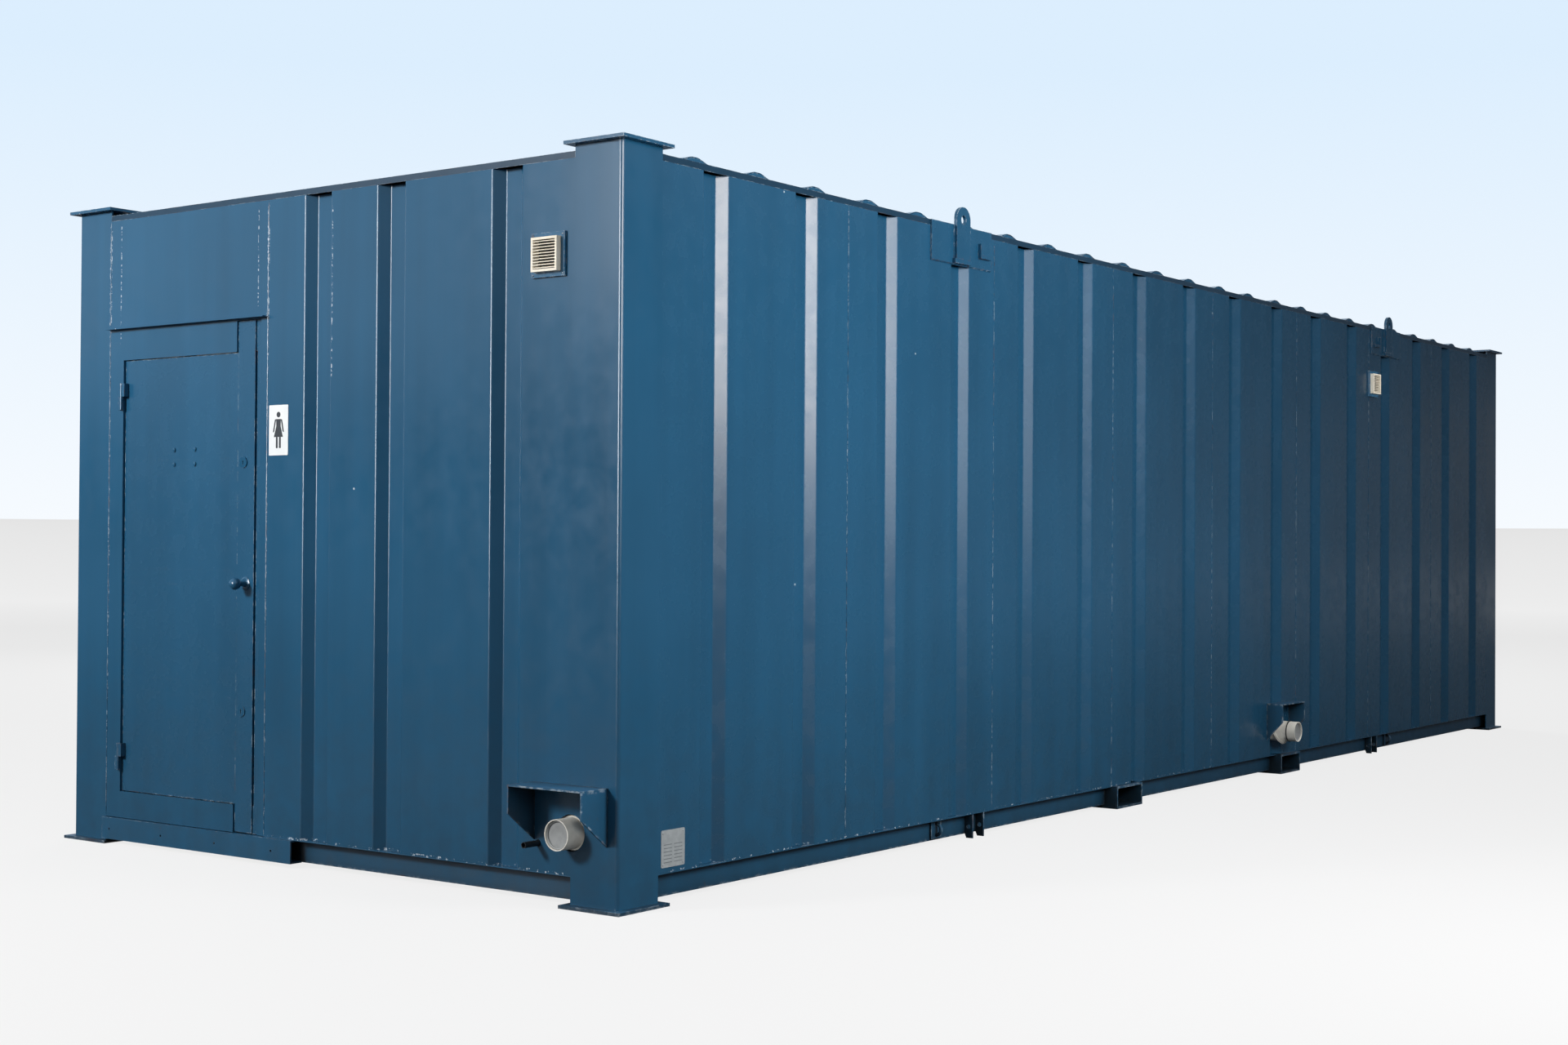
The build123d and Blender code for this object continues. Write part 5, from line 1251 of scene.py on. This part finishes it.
@dataclass
class Palette:
    """Every finish of the block, by the slot or node that wears it."""

    materials: dict[str, bpy.types.Material] = field(default_factory=dict)
    face_depth: float = 0.1
    door_head: float = 2.15
    eaves: float = 2.6
    post: float = 0.25
    foot_rise: float = 0.004

    def end_flaking(self) -> tuple[Flaking, ...]:
        """Lists the flaked lines of the near end: heavy above the door, light below, and one at the foot.

        Returns:
            The lines.
        """
        facing = (Axis.X, NEAR_FACE + self.face_depth)
        uprights = (
            (DOOR_SEAM, 0.006, self.door_head, self.eaves, 0.45),
            (DOOR_SEAM, 0.004, 0.2, self.door_head, 0.1),
            (DOOR_SEAM + 0.06, 0.0025, 2.2, self.eaves, 0.45),
            (POST_EDGE, 0.007, self.door_head, self.eaves, 0.45),
            (POST_EDGE, 0.005, 0.6, self.door_head, 0.16),
            (POST_EDGE - 0.07, 0.0025, 2.1, self.eaves, 0.45),
            (DOOR_SEAM - 0.37, 0.003, 1.9, self.eaves, 0.35),
        )
        foot = (Axis.Z, SHEET_FOOT + self.foot_rise, 0.005, Axis.Y, FRONT_FACE + self.post, DOOR_SEAM)
        return tuple(
            Flaking(Axis.Y, y, half, Axis.Z, low, high, *facing, share)
            for y, half, low, high, share in uprights
        ) + (Flaking(*foot, *facing, 0.2),)

    def side_flaking(self) -> tuple[Flaking, ...]:
        """Lists the flaked lines of the long side: its near seams, less along the side, and one at the foot.

        Returns:
            The lines.
        """
        facing = (Axis.Y, FRONT_FACE + self.face_depth)
        seams = spaced(SEAM_COUNT, SEAM_PITCH)[:3]
        foot = (Axis.Z, SHEET_FOOT + self.foot_rise, 0.004, Axis.X, NEAR_FACE + self.post, MIDDLE_X)
        return tuple(
            Flaking(Axis.X, x, 0.0035, Axis.Z, 0.15, self.eaves, *facing, 0.3 - 0.06 * i)
            for i, x in enumerate(seams)
        ) + (Flaking(*foot, *facing, 0.12),)

    def build(self) -> None:
        """Makes the finishes: the painted steel first, then the fittings and what is inside."""
        finishes = [
            # Brushed alkyd on frame, roof and door: satin, scuffed to primer and rust along its edges
            SatinPaint("blue_paint", edge_mm=6.0),
            # The same on the near end, a little glossier, flaked along the seams beside the door
            SatinPaint("end_wall_paint", roughness=0.22, flaking=self.end_flaking()),
            # The same on the long sides, cracked along the nearer seams
            SatinPaint("side_wall_paint", flaking=self.side_flaking()),
            # Same paint on the top rails, painted darker as shade under the eaves, and nearly matt
            SatinPaint("shaded_top_rail_paint", colour="#12344a", roughness=0.55, edge_mm=4.0),
            # Thick coat on knob and lock cases: glossy, with painted shade in their recesses and where they
            # meet the door
            SatinPaint("door_furniture_paint", roughness=0.14, edge_mm=2.0, recess_shade_mm=7.0),
            # Steel of the base: dull, darker in patches, with rust blooms, and painted shade under the walls
            SatinPaint("base_paint", rust=0.6, roughness=0.4, edge_mm=14.0, recess_shade_mm=120.0),
            # Rubbed steel of the fork pockets: rusty outside, painted shade inside
            SatinPaint("pocket_paint", rust=0.9, roughness=0.45, edge_mm=14.0, recess_shade_mm=240.0),
            # Trodden channel under the door: scuffed edges, painted shade in its holes
            SatinPaint("sill_paint", rust=0.3, roughness=0.34, edge_mm=3.0, recess_shade_mm=9.0),
            # Extruded PVC: pale warm grey with a soft sheen
            Mottled("grey_pvc_pipe", "#d9d6cd", "#c4c0b6", drift_mm=60),
            # Moulded polypropylene: plain mid grey, faintly clouded
            Mottled("stopper_plastic", "#9c9e9e", "#8a8c8c", drift_mm=45, roughness=0.45),
            # Moulded rubber: near black and dull
            Mottled("seal_rubber", "#121314", "#1c1d1e", drift_mm=20, roughness=0.7),
            # Moulded plastic that has yellowed: cream, with painted shade where the blades meet the frame
            Mottled("cream_louvre_plastic", "#e6dece", "#dbd1bd", drift_mm=50, recess_shade_mm=4.0),
            # Extruded polythene: black with a waxy sheen
            Mottled("black_polythene", "#15181b", "#202428", drift_mm=30, roughness=0.45),
            # Sawn pine: streaked along the grain, hardly any sheen
            Mottled("sawn_softwood", "#c19a63", "#a67c49", drift_mm=25, grain=(1, 1, 0.06), roughness=0.8),
            # Rolled sheet vinyl: flakes of two greys under a soft sheen
            Speckled("sheet_vinyl_floor", "#5c6468", "#767e82", flake_mm=5),
            # Faced lining board: even off-white
            Mottled("white_board", "#e4e5e2", "#dcddd9", drift_mm=300, roughness=0.45),
            # Pressed laminate: even blue with a low sheen
            Mottled("blue_laminate", "#5b7f9c", "#547692", drift_mm=80, roughness=0.4),
            # Extruded aluminium: soft upright streaks
            Mottled(
                "satin_aluminium", "#b9bcbe", "#a6a9ab", drift_mm=20, grain=(1, 1, 0.1), roughness=0.38,
                metallic=1.0,
            ),
            # Glazed and fired china: white under a clear, wet gloss
            Mottled(
                "vitreous_china", "#f1f1ee", "#ecece8", drift_mm=200, roughness=0.1, coat=0.6,
                relief_mm=0.02,
            ),
            # Pressed thermoset: white, smooth and shiny
            Mottled("thermoset_seat", "#eeeeea", "#e8e8e3", drift_mm=150, roughness=0.25, relief_mm=0.02),
            # Plated brass: a mirror, almost even
            Mottled(
                "chromed_brass", "#dcdee0", "#d2d5d8", drift_mm=60, roughness=0.08, spread=0.03,
                relief_mm=0.0, metallic=1.0,
            ),
            # Rolled stainless steel: fine streaks along the trough
            Mottled(
                "stainless_trough", "#b8babb", "#a5a8aa", drift_mm=12, grain=(0.04, 1, 1), roughness=0.3,
                metallic=1.0,
            ),
            # Hot-dipped zinc: grey spangles near two centimetres across
            Speckled("galvanised_steel", "#8d9296", "#a6abaf", flake_mm=18, metallic=0.9),
            # Machined steel: grey, faintly clouded by handling
            Mottled("lock_steel", "#8c8f92", "#7b7e81", drift_mm=15, roughness=0.4, metallic=1.0),
            # Etched aluminium sheet: pale and matt, with little of the metal's shine
            Mottled("etched_aluminium", "#b4b9ba", "#a2a7a9", drift_mm=30, metallic=0.3),
            # Printed ink on the plate: dull grey
            Mottled("plate_ink", "#7c8184", "#6d7275", drift_mm=25, roughness=0.55),
            # Vinyl film on the sign: cool white with a soft sheen
            Mottled("sign_vinyl", "#eef0f0", "#e6e9ea", drift_mm=90, roughness=0.35),
            # Printed ink on the sign: near black, matt
            Mottled("sign_ink", "#34383d", "#2b2f33", drift_mm=60),
        ]
        self.materials = {finish.name: finish.build() for finish in finishes}

    def dress(self) -> None:
        """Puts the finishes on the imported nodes: a node's own finish, or else the one for its slot."""
        by_slot = {
            "cream_plastic": "cream_louvre_plastic", "grey_plastic": "grey_pvc_pipe",
            "blue_plastic": "black_polythene", "timber": "sawn_softwood", "vinyl_floor": "sheet_vinyl_floor",
            "white_lining": "white_board", "laminate": "blue_laminate", "white_plastic": "thermoset_seat",
            "chrome": "chromed_brass", "stainless_steel": "stainless_trough",
        }
        by_node = {
            "end_wall_sheets": "end_wall_paint", "door_surround_plates": "end_wall_paint",
            "corner_posts": "end_wall_paint", "door_drip_strip": "end_wall_paint",
            "front_wall_sheets": "side_wall_paint", "rear_wall_sheets": "side_wall_paint",
            "top_rails": "shaded_top_rail_paint", "door_furniture": "door_furniture_paint",
            "base_rails": "base_paint", "foot_plates": "base_paint", "tie_down_brackets": "base_paint",
            "pipe_hoods": "base_paint", "fork_pockets": "pocket_paint", "threshold_channel": "sill_paint",
        }
        for entry in frame["record"]["subparts"]:
            node, slot = frame["nodes"][entry["node"]], entry["material_slot"]
            name = by_node.get(entry["node"], by_slot.get(slot, slot))
            node.data.materials.clear()
            node.data.materials.append(self.materials[name])


def main() -> None:
    """Builds the finishes, the pieces and the stage, in order."""
    logging.basicConfig(level=logging.INFO, format="%(message)s")
    palette = Palette()
    palette.build()
    palette.dress()
    finish = palette.materials
    Welds(finish["blue_paint"]).build()
    FootStrips(finish["side_wall_paint"]).build()
    WallSign(finish["sign_vinyl"], finish["sign_ink"]).build()
    DataPlate(finish["etched_aluminium"], finish["plate_ink"]).build()
    Screws(finish["blue_paint"]).build()
    DoorMarks(finish["end_wall_paint"]).build()
    DrainStoppers(finish["stopper_plastic"], finish["seal_rubber"]).build()
    Interior(finish["white_board"]).build()
    Studio().build()


if __name__ == "__main__":
    main()
